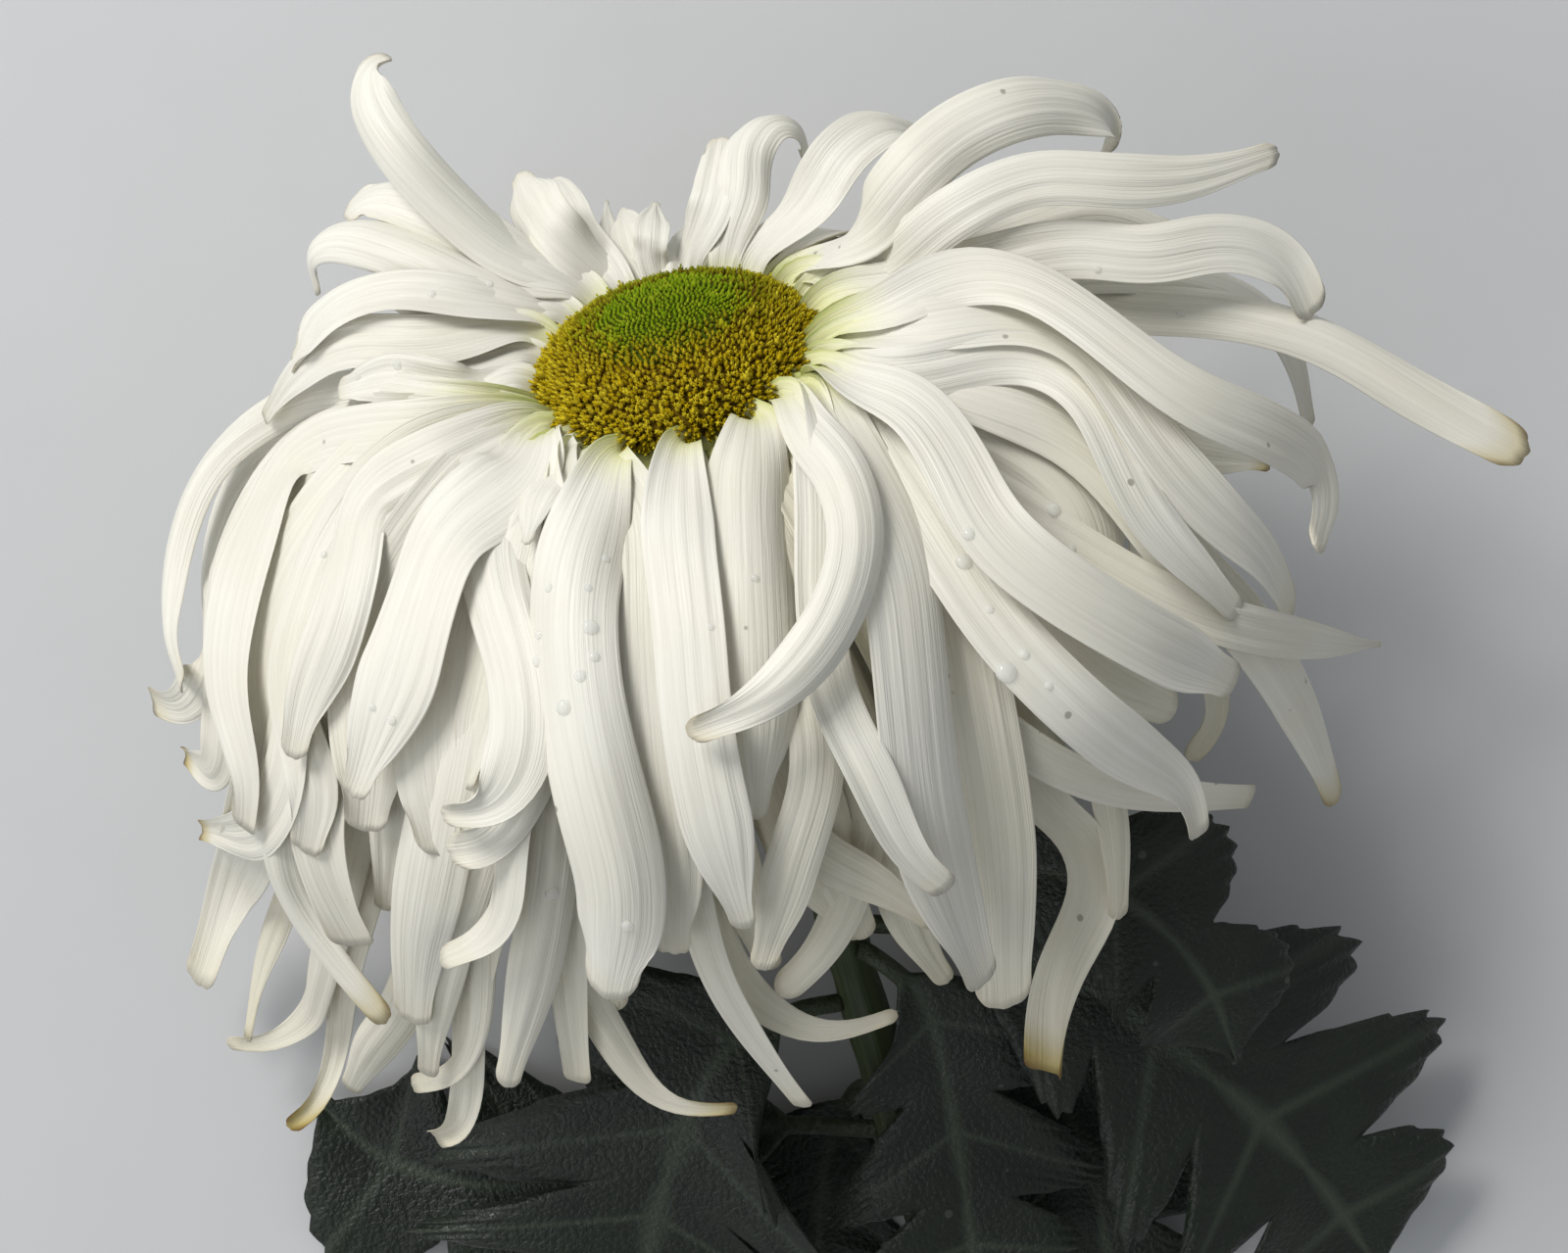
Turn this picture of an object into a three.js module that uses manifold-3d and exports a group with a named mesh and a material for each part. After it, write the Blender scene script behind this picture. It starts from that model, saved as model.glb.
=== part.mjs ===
// A cut white chrysanthemum with an open yellow disc, laid on its side on a table.
// Lengths are millimetres and angles are degrees. The table is z = 0, the stem runs towards -Y,
// and the bloom's axis leans up towards +Y. Until the last lines the frame's origin is the point
// of the table that lies straight below the middle of the disc.
import * as THREE from "three";
import { mergeVertices } from "three/addons/utils/BufferGeometryUtils.js";
import Module from "manifold-3d";

const wasm = await Module();
wasm.setup();

// Driving dimensions of the head
const DISC_RADIUS = 18;
const DISC_HEIGHT = 66;
const AXIS_LIFT = 36.8;
const DOME_RISE = 7.5;
const BUD_RADIUS = 9.5;
const FLORET_RELIEF = 0.55;
const SEAT_GAP = 0.3;

// Driving dimensions of the rays
const RAY_THICKNESS = 0.7;
const RAY_STEP_LENGTH = 13;
const MOST_RAY_STEPS = 8;
const ROOT_RADIUS = 15.5;
const ROOT_RISE = -4.2;
const TIER_SHARE = 0.16;
const MOST_TIER = 1.2;
const LEAVING_RISE = -3.4;
const CLAW_WIDTH = 2.2;
const HUB_TOP = -2.4;
const HUB_BOTTOM = -6.2;
const SKYWARD = 0.35;
const SHOWN_LOWEST = 14;

// The mound that the rays drape over: a dome on a skirt, measured about the flower's axis
const DRAPE_SIDE = 76;
const DRAPE_FRONT = 58;
const DRAPE_TOP = 8;
const DRAPE_WAIST = -38;

// Driving dimensions of the stem, the bracts and the leaves
const STEM_RADIUS = 3;
const STEM_START = 14.5;
const STEM_STEPS = 18;
const LEAF_THICKNESS = 0.8;
const PETIOLE_WIDTH = 2.6;

// The photograph's view, which looks straight down on the laid flower
const FRAME_MIDDLE = [800, 639.5];
const DISC_PIXEL = [688, 365];
const FOCAL_PIXELS = 3276;
const EYE_ABOVE_DISC = 400;
const VIEW_ROLL = 16;

const radians = THREE.MathUtils.degToRad;
const lerp = THREE.MathUtils.lerp;
const clamp = THREE.MathUtils.clamp;
const vec = (x, y, z) => new THREE.Vector3(x, y, z);

const LEAN = radians(AXIS_LIFT);
const CENTRE = vec(0, 0, DISC_HEIGHT);
const SIDE = vec(1, 0, 0);
const AXIS = vec(0, Math.cos(LEAN), Math.sin(LEAN));
const FRONT = vec(0, -Math.sin(LEAN), Math.cos(LEAN));

// A repeatable draw between 0 and 1 for the n-th repeat
function draw(n) {
  const s = Math.sin(n * 12.9898) * 43758.5453;
  return s - Math.floor(s);
}

// A point of the head from its distance to the axis, its bearing (0 in front, 90 at +X) and its rise
function onHead(radius, bearing, rise) {
  const b = radians(bearing);
  return CENTRE.clone()
    .addScaledVector(SIDE, radius * Math.sin(b))
    .addScaledVector(FRONT, radius * Math.cos(b))
    .addScaledVector(AXIS, rise);
}

// The point at a height above the table that the photograph shows at a pixel
function seenAt([column, row], height) {
  const scale = (DISC_HEIGHT + EYE_ABOVE_DISC - height) / FOCAL_PIXELS;
  const discScale = EYE_ABOVE_DISC / FOCAL_PIXELS;
  const x = (FRAME_MIDDLE[0] - DISC_PIXEL[0]) * discScale + (column - FRAME_MIDDLE[0]) * scale;
  const y = (DISC_PIXEL[1] - FRAME_MIDDLE[1]) * discScale + (FRAME_MIDDLE[1] - row) * scale;
  return vec(x, y, height).applyAxisAngle(vec(0, 0, 1), radians(-VIEW_ROLL));
}

// The bearing on the head at which the view through a pixel meets the plane of the ray roots
function bearingOf(pixel) {
  const high = seenAt(pixel, DISC_HEIGHT + 20);
  const low = seenAt(pixel, DISC_HEIGHT - 20);
  const a = high.clone().sub(CENTRE).dot(AXIS) - ROOT_RISE;
  const b = low.clone().sub(CENTRE).dot(AXIS) - ROOT_RISE;
  const met = high.lerp(low, a / (a - b)).sub(CENTRE);
  return THREE.MathUtils.radToDeg(Math.atan2(met.dot(SIDE), met.dot(FRONT)));
}

// The height of the draped mound above a place of the table: the upper root of the dome's
// quadratic, or the skirt's wall where that root lies below the waist
function drapeHeight(x, y) {
  const rise = DRAPE_TOP - DRAPE_WAIST;
  const sideShare = 1 - (x / DRAPE_SIDE) ** 2;
  const frontSlope = FRONT.z / DRAPE_FRONT;
  const frontStart = (FRONT.y * y) / DRAPE_FRONT;
  const riseSlope = AXIS.z / rise;
  const riseStart = (AXIS.y * y - DRAPE_WAIST) / rise;
  const a = frontSlope ** 2 + riseSlope ** 2;
  const b = frontSlope * frontStart + riseSlope * riseStart;
  const c = frontStart ** 2 + riseStart ** 2 - sideShare;
  const dome = (Math.sqrt(Math.max(0, b * b - a * c)) - b) / a;
  if (AXIS.y * y + AXIS.z * dome > DRAPE_WAIST) return DISC_HEIGHT + dome;
  return DISC_HEIGHT + (DRAPE_FRONT * Math.sqrt(Math.max(0, sideShare)) - FRONT.y * y) / FRONT.z;
}

// Turns a closed geometry into a solid
function solidOf(geometry) {
  const bare = new THREE.BufferGeometry();
  bare.setAttribute("position", geometry.getAttribute("position").clone());
  if (geometry.index) bare.setIndex(geometry.index.clone());
  const merged = mergeVertices(bare, 1e-4);
  return new wasm.Manifold(
    new wasm.Mesh({
      numProp: 3,
      vertProperties: new Float32Array(merged.attributes.position.array),
      triVerts: new Uint32Array(merged.index.array),
    }),
  );
}

// Turns a solid back into a geometry
function geometryOf(solid) {
  const mesh = solid.getMesh();
  const geometry = new THREE.BufferGeometry();
  geometry.setAttribute("position", new THREE.BufferAttribute(mesh.vertProperties, 3));
  geometry.setIndex(new THREE.BufferAttribute(mesh.triVerts, 1));
  geometry.computeVertexNormals();
  return geometry;
}

// The outer skin of fused pieces: hollows that the fusing sealed are filled, loose scraps are dropped
function outerSkin(fused) {
  return fused.decompose().reduce((a, b) => (a.volume() > b.volume() ? a : b));
}

// A closed strip carried along stations, each a ring of the same number of points that starts at
// its upper left and runs to the right first; both ends are closed by a fan
function loft(rings) {
  const around = rings[0].length;
  const positions = rings.flat().flatMap((p) => [p.x, p.y, p.z]);
  const index = [];
  for (let i = 0; i + 1 < rings.length; i++) {
    for (let k = 0; k < around; k++) {
      const a = i * around + k;
      const b = i * around + ((k + 1) % around);
      const c = a + around;
      const d = b + around;
      // Opposite faces are cut along the same diagonal, so a twisted blade never crosses itself
      if (k < around / 2) index.push(a, b, d, a, d, c);
      else index.push(a, b, c, b, d, c);
    }
  }
  const last = (rings.length - 1) * around;
  for (let k = 1; k + 1 < around; k++) {
    index.push(0, k + 1, k);
    index.push(last, last + k, last + k + 1);
  }
  const geometry = new THREE.BufferGeometry();
  geometry.setAttribute("position", new THREE.Float32BufferAttribute(positions, 3));
  geometry.setIndex(index);
  return geometry;
}

// The share of a ray's full width at a share of its length: a narrow claw, the widest place past
// the middle, and a blunt tip
function rayWidth(share, width) {
  const claw = CLAW_WIDTH / width;
  const swell = THREE.MathUtils.smoothstep(share, 0.06, 0.45);
  const tip = 1 - 0.62 * THREE.MathUtils.smoothstep(share, 0.78, 1);
  return width * lerp(claw, 1, swell) * tip;
}

// A ray floret's strap: a thin four-sided section on a smooth curve, faced away from the stem,
// turned a little to the sky by skyward, and flat on the table where it lies there
function rayBlade([root, ...points], { width, roll = 0, twist = 0, skyward = 0 }) {
  const curve = new THREE.CatmullRomCurve3(points, false, "centripetal");
  const sunk = root.distanceTo(points[0]);
  const length = sunk + curve.getLength();
  const steps = clamp(Math.round(length / RAY_STEP_LENGTH), 4, MOST_RAY_STEPS);
  const places = [root, ...curve.getSpacedPoints(steps - 1)];
  const rings = places.map((place, i) => {
    const share = i ? lerp(sunk / length, 1, (i - 1) / (steps - 1)) : 0;
    const along = places[Math.min(i + 1, steps)].clone().sub(places[Math.max(i - 1, 0)]).normalize();
    const rise = place.clone().sub(CENTRE).dot(AXIS);
    const core = CENTRE.clone().addScaledVector(AXIS, Math.min(-20, 0.8 * rise));
    const lying = 1 - THREE.MathUtils.smoothstep(place.z, 3, 16);
    const out = place.clone().sub(core).normalize().add(vec(0, 0, skyward - 1.6 * lying));
    out.addScaledVector(along, -out.dot(along)).normalize();
    out.applyAxisAngle(along, radians(roll + twist * share));
    const across = along.clone().cross(out).multiplyScalar(rayWidth(share, width) / 2);
    const half = out.clone().multiplyScalar(RAY_THICKNESS / 2);
    return [
      place.clone().sub(across).add(half),
      place.clone().add(across).add(half),
      place.clone().add(across).sub(half),
      place.clone().sub(across).sub(half),
    ];
  });
  return loft(rings);
}

// The stem's middle line: a circular bow that leaves the head along its axis and ends flat on
// the table
const stemTop = CENTRE.clone().addScaledVector(AXIS, -STEM_START);
const STEM_BOW = (stemTop.z - STEM_RADIUS) / (1 - Math.cos(LEAN));
class StemLine extends THREE.Curve {
  getPoint(share, target = new THREE.Vector3()) {
    const turn = LEAN * (1 - share);
    const y = stemTop.y - STEM_BOW * (Math.sin(LEAN) - Math.sin(turn));
    return target.set(0, y, STEM_RADIUS + STEM_BOW * (1 - Math.cos(turn)));
  }
}
const stemLine = new StemLine();

// Moves a point that lies too near to the stem straight away from it
function clearOfStem(point, distance) {
  const nearest = stemLine
    .getPoints(60)
    .reduce((a, b) => (a.distanceToSquared(point) < b.distanceToSquared(point) ? a : b));
  const away = point.clone().sub(nearest);
  const short = distance - away.length();
  if (short > 0) point.addScaledVector(away.normalize(), short);
  return point;
}

// A ray's first two points: its root inside the hub and where it leaves it. The rays that lie
// higher on the mound grow from higher up on the hub.
function rootOf(bearing, lift) {
  const tier = clamp(TIER_SHARE * lift, -MOST_TIER, MOST_TIER);
  return [onHead(ROOT_RADIUS, bearing, ROOT_RISE + tier), onHead(DISC_RADIUS + 2, bearing, tier + LEAVING_RISE)];
}

// A ray that the photograph shows. path lists its pixels from the disc to the tip, width is in
// millimetres, and lift is how far it lies above the draped mound at one third, two thirds and
// the tip, or level its height above the table at those places.
function shownRay({ path, width, lift, level, roll, twist }, n) {
  const bearing = bearingOf(path[0]);
  const spans = path.slice(1).map((p, i) => Math.hypot(p[0] - path[i][0], p[1] - path[i][1]));
  const whole = spans.reduce((a, b) => a + b);
  const edgeHeight = onHead(DISC_RADIUS + 2, bearing, 0).z;
  const heights = level ? [edgeHeight, ...level] : [0, ...lift];
  let run = 0;
  const outer = path.slice(1).map((pixel, i) => {
    run += spans[i];
    const third = clamp((run / whole) * 3, 0, 3);
    const step = Math.min(2, Math.floor(third));
    const value = lerp(heights[step], heights[step + 1], third - step);
    if (level) return seenAt(pixel, value);
    let point = seenAt(pixel, DISC_HEIGHT + 20);
    for (let round = 0; round < 4; round++) {
      const mound = drapeHeight(point.x, point.y);
      const settle = THREE.MathUtils.smoothstep(run, 0, 130);
      point = seenAt(pixel, Math.max(SHOWN_LOWEST, lerp(edgeHeight + 3, mound, settle) + value));
    }
    return point;
  });
  return rayBlade([...rootOf(bearing, level ? 9 * ((n % 3) - 1) : lift[0]), ...outer], {
    width,
    roll,
    twist,
    skyward: SKYWARD,
  });
}

// The rays in front of the disc, from the left round to the right
const FRONT_RAYS = [
  { path: [[640, 443], [590, 438], [552, 462], [538, 505], [537, 552]], width: 6.5, lift: [2, 3, 1] },
  {
    path: [[610, 432], [545, 480], [500, 530], [505, 600], [530, 690], [532, 765], [500, 828], [449, 829]],
    width: 7.5,
    lift: [-3, 0, 4],
    roll: -20,
  },
  { path: [[660, 445], [612, 500], [584, 591], [585, 690], [605, 800], [632, 910], [620, 1018]], width: 10.2, lift: [0, 2, 3] },
  { path: [[655, 445], [650, 520], [655, 640], [665, 780], [680, 880], [687, 975]], width: 8, lift: [-5, -5, -5] },
  { path: [[700, 430], [690, 528], [702, 640], [712, 751], [735, 860], [761, 948]], width: 8.2, lift: [1, 1, 0] },
  { path: [[745, 425], [765, 500], [768, 600], [771, 700], [772, 836]], width: 10, lift: [-2, -2, -4] },
  {
    path: [[772, 415], [820, 432], [859, 480], [876, 543], [862, 612], [827, 671], [779, 716], [700, 748]],
    width: 6.5,
    lift: [3, 5, 5],
  },
  { path: [[790, 405], [835, 500], [836, 620], [850, 710], [890, 790], [930, 875], [970, 908]], width: 5.4, lift: [-4, 0, 4] },
  { path: [[795, 402], [870, 470], [918, 570], [932, 684], [950, 840], [1003, 1008]], width: 10.4, lift: [-1, -1, -1] },
  { path: [[800, 398], [900, 460], [960, 560], [990, 700], [1015, 850], [1024, 1030]], width: 9.5, lift: [-8, -8, -9] },
  {
    path: [[800, 394], [865, 387], [930, 408], [975, 470], [1010, 540], [1080, 598], [1170, 652], [1262, 698]],
    width: 8,
    lift: [2, 4, 4],
  },
  { path: [[808, 390], [930, 410], [1030, 450], [1100, 510], [1128, 612]], width: 10, lift: [-7, -8, -9] },
  { path: [[812, 392], [930, 500], [1017, 637], [1093, 717], [1165, 775], [1215, 808], [1222, 856]], width: 6.4, lift: [-4, 2, 3] },
  { path: [[700, 430], [750, 600], [820, 690], [836, 792], [817, 856], [776, 990]], width: 6.2, lift: [-7, -4, -2] },
];

// The rays on the left, which bow outwards and hang
const LEFT_RAYS = [
  { path: [[545, 440], [450, 405], [341, 399], [261, 428], [210, 472], [176, 560], [170, 630], [186, 700]], width: 5.4, lift: [4, 4, 5] },
  { path: [[556, 440], [420, 425], [299, 441], [236, 485], [212, 570], [214, 680], [190, 725], [154, 712]], width: 7, lift: [0, -5, -2] },
  { path: [[565, 441], [421, 436], [300, 463], [266, 533], [240, 610], [230, 700], [255, 790], [250, 848]], width: 7.5, lift: [1, 1, -2] },
  { path: [[575, 441], [430, 452], [350, 530], [306, 635], [293, 710], [322, 800], [312, 872]], width: 6.8, lift: [-2, -2, -5] },
  { path: [[585, 441], [455, 460], [375, 505], [360, 571], [338, 650], [310, 720], [299, 775]], width: 7.2, lift: [1, 2, 0] },
  { path: [[600, 443], [535, 480], [459, 540], [430, 610], [405, 690], [385, 745], [360, 815]], width: 10.5, lift: [0, 1, 0] },
  { path: [[610, 443], [520, 540], [480, 680], [455, 800], [433, 913], [424, 967], [421, 1044]], width: 9, lift: [-5, -5, -6] },
  { path: [[575, 440], [470, 520], [420, 640], [405, 760], [398, 850], [392, 929]], width: 7, lift: [-6, -8, -12] },
  { path: [[560, 440], [400, 480], [320, 620], [285, 750], [255, 865], [236, 913], [204, 1009]], width: 8.2, lift: [-7, -10, -12] },
  { path: [[570, 440], [380, 500], [300, 700], [280, 865], [299, 926], [340, 980], [395, 1044]], width: 5.5, lift: [-4, -5, -3] },
  { path: [[620, 443], [560, 560], [540, 700], [516, 856], [516, 903], [500, 955], [449, 980]], width: 6.8, lift: [-5, -4, -1], roll: 20 },
];

// The lowest rays, whose tips hang past the others
const LOW_RAYS = [
  { path: [[590, 443], [420, 640], [370, 820], [325, 1002], [305, 1050], [260, 1080], [231, 1063]], width: 5, lift: [-10, -12, -9] },
  { path: [[585, 443], [390, 600], [330, 800], [282, 940], [261, 1002], [252, 1063]], width: 5.6, lift: [-19, -19, -17] },
  { path: [[600, 443], [440, 640], [390, 850], [350, 1000], [344, 1079], [325, 1145], [293, 1151]], width: 4.8, lift: [-14, -16, -14] },
  { path: [[605, 443], [500, 650], [460, 850], [411, 1030], [382, 1066], [357, 1111]], width: 6, lift: [-10, -11, -12] },
  { path: [[615, 443], [540, 640], [490, 850], [446, 999], [440, 1047], [437, 1098]], width: 6.5, lift: [-7, -8, -8] },
  { path: [[620, 443], [560, 680], [510, 900], [478, 1040], [478, 1111], [462, 1165], [441, 1160]], width: 4.4, lift: [-12, -12, -12] },
  { path: [[640, 443], [590, 640], [570, 800], [564, 872], [548, 977], [516, 1108]], width: 6.4, lift: [-8, -6, -5] },
  { path: [[645, 443], [600, 700], [580, 880], [580, 1002], [592, 1106]], width: 5.6, lift: [-10, -11, -11] },
  { path: [[650, 443], [610, 700], [570, 880], [590, 1000], [626, 1069], [680, 1132], [752, 1130]], width: 4.6, lift: [-14, -15, -9] },
  { path: [[690, 443], [680, 700], [700, 880], [731, 999], [763, 1053], [824, 1130]], width: 4.8, lift: [-10, -8, -8] },
  { path: [[700, 443], [700, 700], [720, 900], [744, 990], [782, 1031], [840, 1058], [916, 1034]], width: 4.8, lift: [-14, -14, -11] },
  { path: [[780, 443], [850, 620], [885, 780], [878, 870], [845, 965], [795, 1015]], width: 5.6, lift: [-12, -12, -12] },
  { path: [[740, 443], [760, 640], [780, 780], [833, 872], [891, 900], [955, 945]], width: 5.8, lift: [-12, -9, -7] },
  { path: [[790, 440], [880, 620], [910, 800], [932, 950], [967, 1003]], width: 7, lift: [-20, -19, -18] },
  { path: [[800, 440], [900, 600], [990, 720], [1110, 798], [1200, 812], [1280, 811]], width: 5, lift: [-10, -9, -8] },
  { path: [[810, 430], [960, 600], [1055, 814], [1105, 850], [1124, 915], [1080, 990], [1072, 1100]], width: 5.8, lift: [-17, -16, -14], twist: 120 },
  { path: [[812, 420], [980, 560], [1090, 690], [1138, 838], [1141, 938]], width: 5, lift: [-13, -13, -12] },
];

// The rays on the right, long arches that reach furthest
const RIGHT_RAYS = [
  { path: [[815, 395], [960, 470], [1100, 560], [1181, 609], [1253, 637], [1342, 655], [1408, 657]], width: 5.6, lift: [-11, -3, 10] },
  { path: [[820, 392], [980, 400], [1080, 430], [1146, 487], [1199, 559], [1262, 620], [1330, 720], [1364, 816]], width: 6.6, lift: [-4, -3, -3] },
  { path: [[824, 388], [960, 362], [1060, 375], [1130, 410], [1217, 487], [1285, 540], [1321, 640]], width: 6.6, lift: [-1, 0, 1] },
  { path: [[828, 382], [941, 333], [1037, 322], [1094, 345], [1133, 400], [1171, 460], [1228, 535]], width: 8.6, lift: [3, 2, -1] },
  { path: [[832, 372], [903, 318], [964, 280], [1040, 282], [1110, 325], [1209, 402], [1306, 444], [1355, 490], [1342, 559]], width: 7.2, lift: [6, 6, 10] },
  { path: [[835, 355], [960, 310], [1060, 300], [1156, 314], [1247, 318], [1350, 345], [1460, 410], [1560, 465]], width: 5.6, level: [72, 64, 60] },
  { path: [[835, 340], [930, 290], [1018, 268], [1094, 252], [1171, 262], [1247, 246], [1310, 265], [1339, 325]], width: 7, level: [76, 72, 62] },
  { path: [[834, 335], [1000, 290], [1150, 280], [1260, 300], [1310, 340], [1335, 440]], width: 5, level: [68, 58, 44] },
  { path: [[832, 322], [922, 278], [1037, 239], [1114, 215], [1202, 241]], width: 6, level: [66, 62, 54] },
  { path: [[826, 305], [880, 290], [964, 222], [1056, 180], [1133, 184], [1215, 182], [1305, 155]], width: 6.5, level: [74, 72, 64] },
  { path: [[818, 295], [868, 250], [922, 182], [980, 130], [1037, 106], [1094, 105], [1140, 125], [1125, 163]], width: 8, level: [72, 68, 52] },
];

// The rays behind the disc, which rise past it
const BACK_RAYS = [
  { path: [[790, 279], [821, 214], [859, 155], [905, 128], [950, 146]], width: 7, level: [57, 58, 48] },
  { path: [[765, 272], [758, 200], [762, 150], [785, 124], [812, 130], [824, 165]], width: 5.4, level: [54, 50, 40] },
  { path: [[700, 268], [715, 215], [736, 143]], width: 6.6, level: [51, 52, 46] },
  { path: [[672, 270], [660, 240], [645, 205]], width: 6.2, level: [54, 50, 40] },
  { path: [[645, 275], [632, 240], [618, 210]], width: 6, level: [50, 46, 38] },
  { path: [[625, 285], [595, 235], [566, 186]], width: 5.4, level: [48, 42, 34] },
  { path: [[612, 292], [568, 245], [526, 176]], width: 8.6, level: [52, 50, 42] },
  { path: [[603, 318], [522, 260], [465, 214], [407, 153], [376, 100], [376, 62], [399, 58]], width: 6.6, level: [62, 66, 62] },
  { path: [[592, 318], [540, 272], [446, 212], [377, 200], [352, 220]], width: 7.4, level: [60, 58, 48] },
  { path: [[580, 335], [500, 292], [420, 255], [350, 237], [316, 255], [325, 300]], width: 8, level: [65, 60, 47] },
  { path: [[568, 352], [480, 305], [400, 297], [335, 322], [298, 378]], width: 7, level: [69, 67, 54] },
  { path: [[558, 372], [440, 348], [350, 350], [300, 385], [270, 430]], width: 6.6, level: [72, 62, 44] },
  { path: [[552, 405], [470, 396], [400, 385], [344, 400]], width: 6, level: [78, 74, 66] },
];

// The rays that nothing in front shows: whorls spread by the golden angle, which drape over a
// smaller mound and lie on the table where they reach it
const GOLDEN_ANGLE = 137.508;
const HIDDEN_PROFILE = [[0.48, 0.03], [0.66, -0.02], [0.9, -0.3], [1, -0.62], [0.98, -0.98], [0.94, -1.22]];
const HIDDEN_REACH = 56;
const INNER_RAYS = 11;
const UNDER_RAYS = 12;
const STEM_CLEARANCE = 8.5;

function hiddenRay(n, { bearing, size, floor, width }) {
  const sway = 26 * (draw(n + 0.3) - 0.5);
  const length = HIDDEN_REACH * size * lerp(0.88, 1.06, draw(n + 0.7));
  const outer = HIDDEN_PROFILE.map(([radius, rise], i) => {
    const turned = bearing + sway * (i / HIDDEN_PROFILE.length) ** 2;
    const point = clearOfStem(onHead(length * radius, turned, length * rise), STEM_CLEARANCE);
    const above = point.z - floor;
    point.z = floor + (above + Math.sqrt(above * above + 9)) / 2;
    return point;
  });
  return rayBlade([...rootOf(bearing, -9 + 3 * (n % 2)), ...outer], { width });
}

// The ring of flesh below the disc's edge that every ray grows from
function hub() {
  const profile = [[12, HUB_BOTTOM], [17, HUB_BOTTOM], [17.8, HUB_TOP - 1], [17.4, HUB_TOP], [12, HUB_TOP]];
  const ring = new THREE.LatheGeometry([...profile, profile[0]].map(([r, h]) => new THREE.Vector2(r, h)), 36);
  return ring.rotateX(LEAN).translate(...CENTRE.toArray());
}

function rayFlorets() {
  const shown = [...FRONT_RAYS, ...LEFT_RAYS, ...LOW_RAYS, ...RIGHT_RAYS, ...BACK_RAYS].map(shownRay);
  const inner = Array.from({ length: INNER_RAYS }, (_, n) =>
    hiddenRay(n, {
      bearing: n * GOLDEN_ANGLE,
      size: 0.86,
      floor: 3 + 6 * draw(n + 0.1),
      width: lerp(6.4, 8.4, draw(n + 0.5)),
    }),
  );
  const under = Array.from({ length: UNDER_RAYS }, (_, n) =>
    hiddenRay(n + 200, {
      bearing: 112 + (136 * (n + 0.5)) / UNDER_RAYS,
      size: 1.12,
      floor: 0.2 + 0.9 * (n % 3),
      width: lerp(7, 9, draw(n + 200.5)),
    }),
  );
  const fused = wasm.Manifold.union([hub(), ...shown, ...inner, ...under].map(solidOf));
  return geometryOf(outerSkin(fused.trimByPlane([0, 0, 1], 0)));
}

// A solid turned about +Y whose rings [radius, rise, relief] run from its lower edge over the top
// to the middle; relief lifts every other point, as the tops of packed florets do
function reliefCap(rings, sectors, middleRise) {
  const positions = [0, rings[0][1], 0];
  rings.forEach(([radius, rise, relief], i) => {
    for (let k = 0; k < sectors; k++) {
      const turn = (2 * Math.PI * k) / sectors;
      const lift = (i + k) % 2 ? relief : -relief;
      positions.push(radius * Math.sin(turn), rise + lift, radius * Math.cos(turn));
    }
  });
  positions.push(0, middleRise, 0);
  const top = rings.length * sectors + 1;
  const index = [];
  for (let k = 0; k < sectors; k++) {
    const next = (k + 1) % sectors;
    index.push(0, 1 + next, 1 + k);
    for (let i = 0; i + 1 < rings.length; i++) {
      const a = 1 + i * sectors + k;
      const b = 1 + i * sectors + next;
      index.push(a, b, b + sectors, a, b + sectors, a + sectors);
    }
    const lastRing = 1 + (rings.length - 1) * sectors;
    index.push(lastRing + k, lastRing + next, top);
  }
  const geometry = new THREE.BufferGeometry();
  geometry.setAttribute("position", new THREE.Float32BufferAttribute(positions, 3));
  geometry.setIndex(index);
  geometry.computeVertexNormals();
  return geometry;
}

// The rise of the disc's dome above its rim at a distance from its axis
function domeRise(radius) {
  return DOME_RISE * (1 - (radius / DISC_RADIUS) ** 2) ** 0.7;
}

const DISC_FOOT = HUB_TOP + SEAT_GAP;
const BUD_FLOOR = domeRise(BUD_RADIUS) - 1.2;

// The open florets: a domed ring of relief round the shallow seat of the buds
function discFlorets() {
  const rings = [[DISC_RADIUS - 0.8, DISC_FOOT, 0]];
  const rows = 7;
  for (let i = 0; i <= rows; i++) {
    const radius = lerp(DISC_RADIUS, BUD_RADIUS, i / rows);
    rings.push([radius, 0.6 + domeRise(radius), i === rows ? 0 : FLORET_RELIEF]);
  }
  rings.push([BUD_RADIUS, BUD_FLOOR, 0]);
  return reliefCap(rings, 64, BUD_FLOOR);
}

// The green buds still closed in the middle
function discBuds() {
  const edge = BUD_RADIUS - SEAT_GAP;
  const foot = BUD_FLOOR + SEAT_GAP;
  const rings = [[edge, foot, 0]];
  const rows = 5;
  for (let i = 0; i < rows; i++) {
    const radius = lerp(edge, 0, i / rows);
    rings.push([radius, 0.5 + domeRise(radius), 0.7 * FLORET_RELIEF]);
  }
  return reliefCap(rings, 40, 0.5 + DOME_RISE);
}

// The green cup below the rays, with its rows of overlapping bracts fused on
const BRACT_ROWS = [
  { count: 10, base: [6.4, -12.4], middle: [10.8, -10.8], tip: [15, -8.2], width: 4.8 },
  { count: 10, base: [10, -10.2], middle: [14, -8.6], tip: [17.3, -6.9], width: 5 },
];

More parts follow.
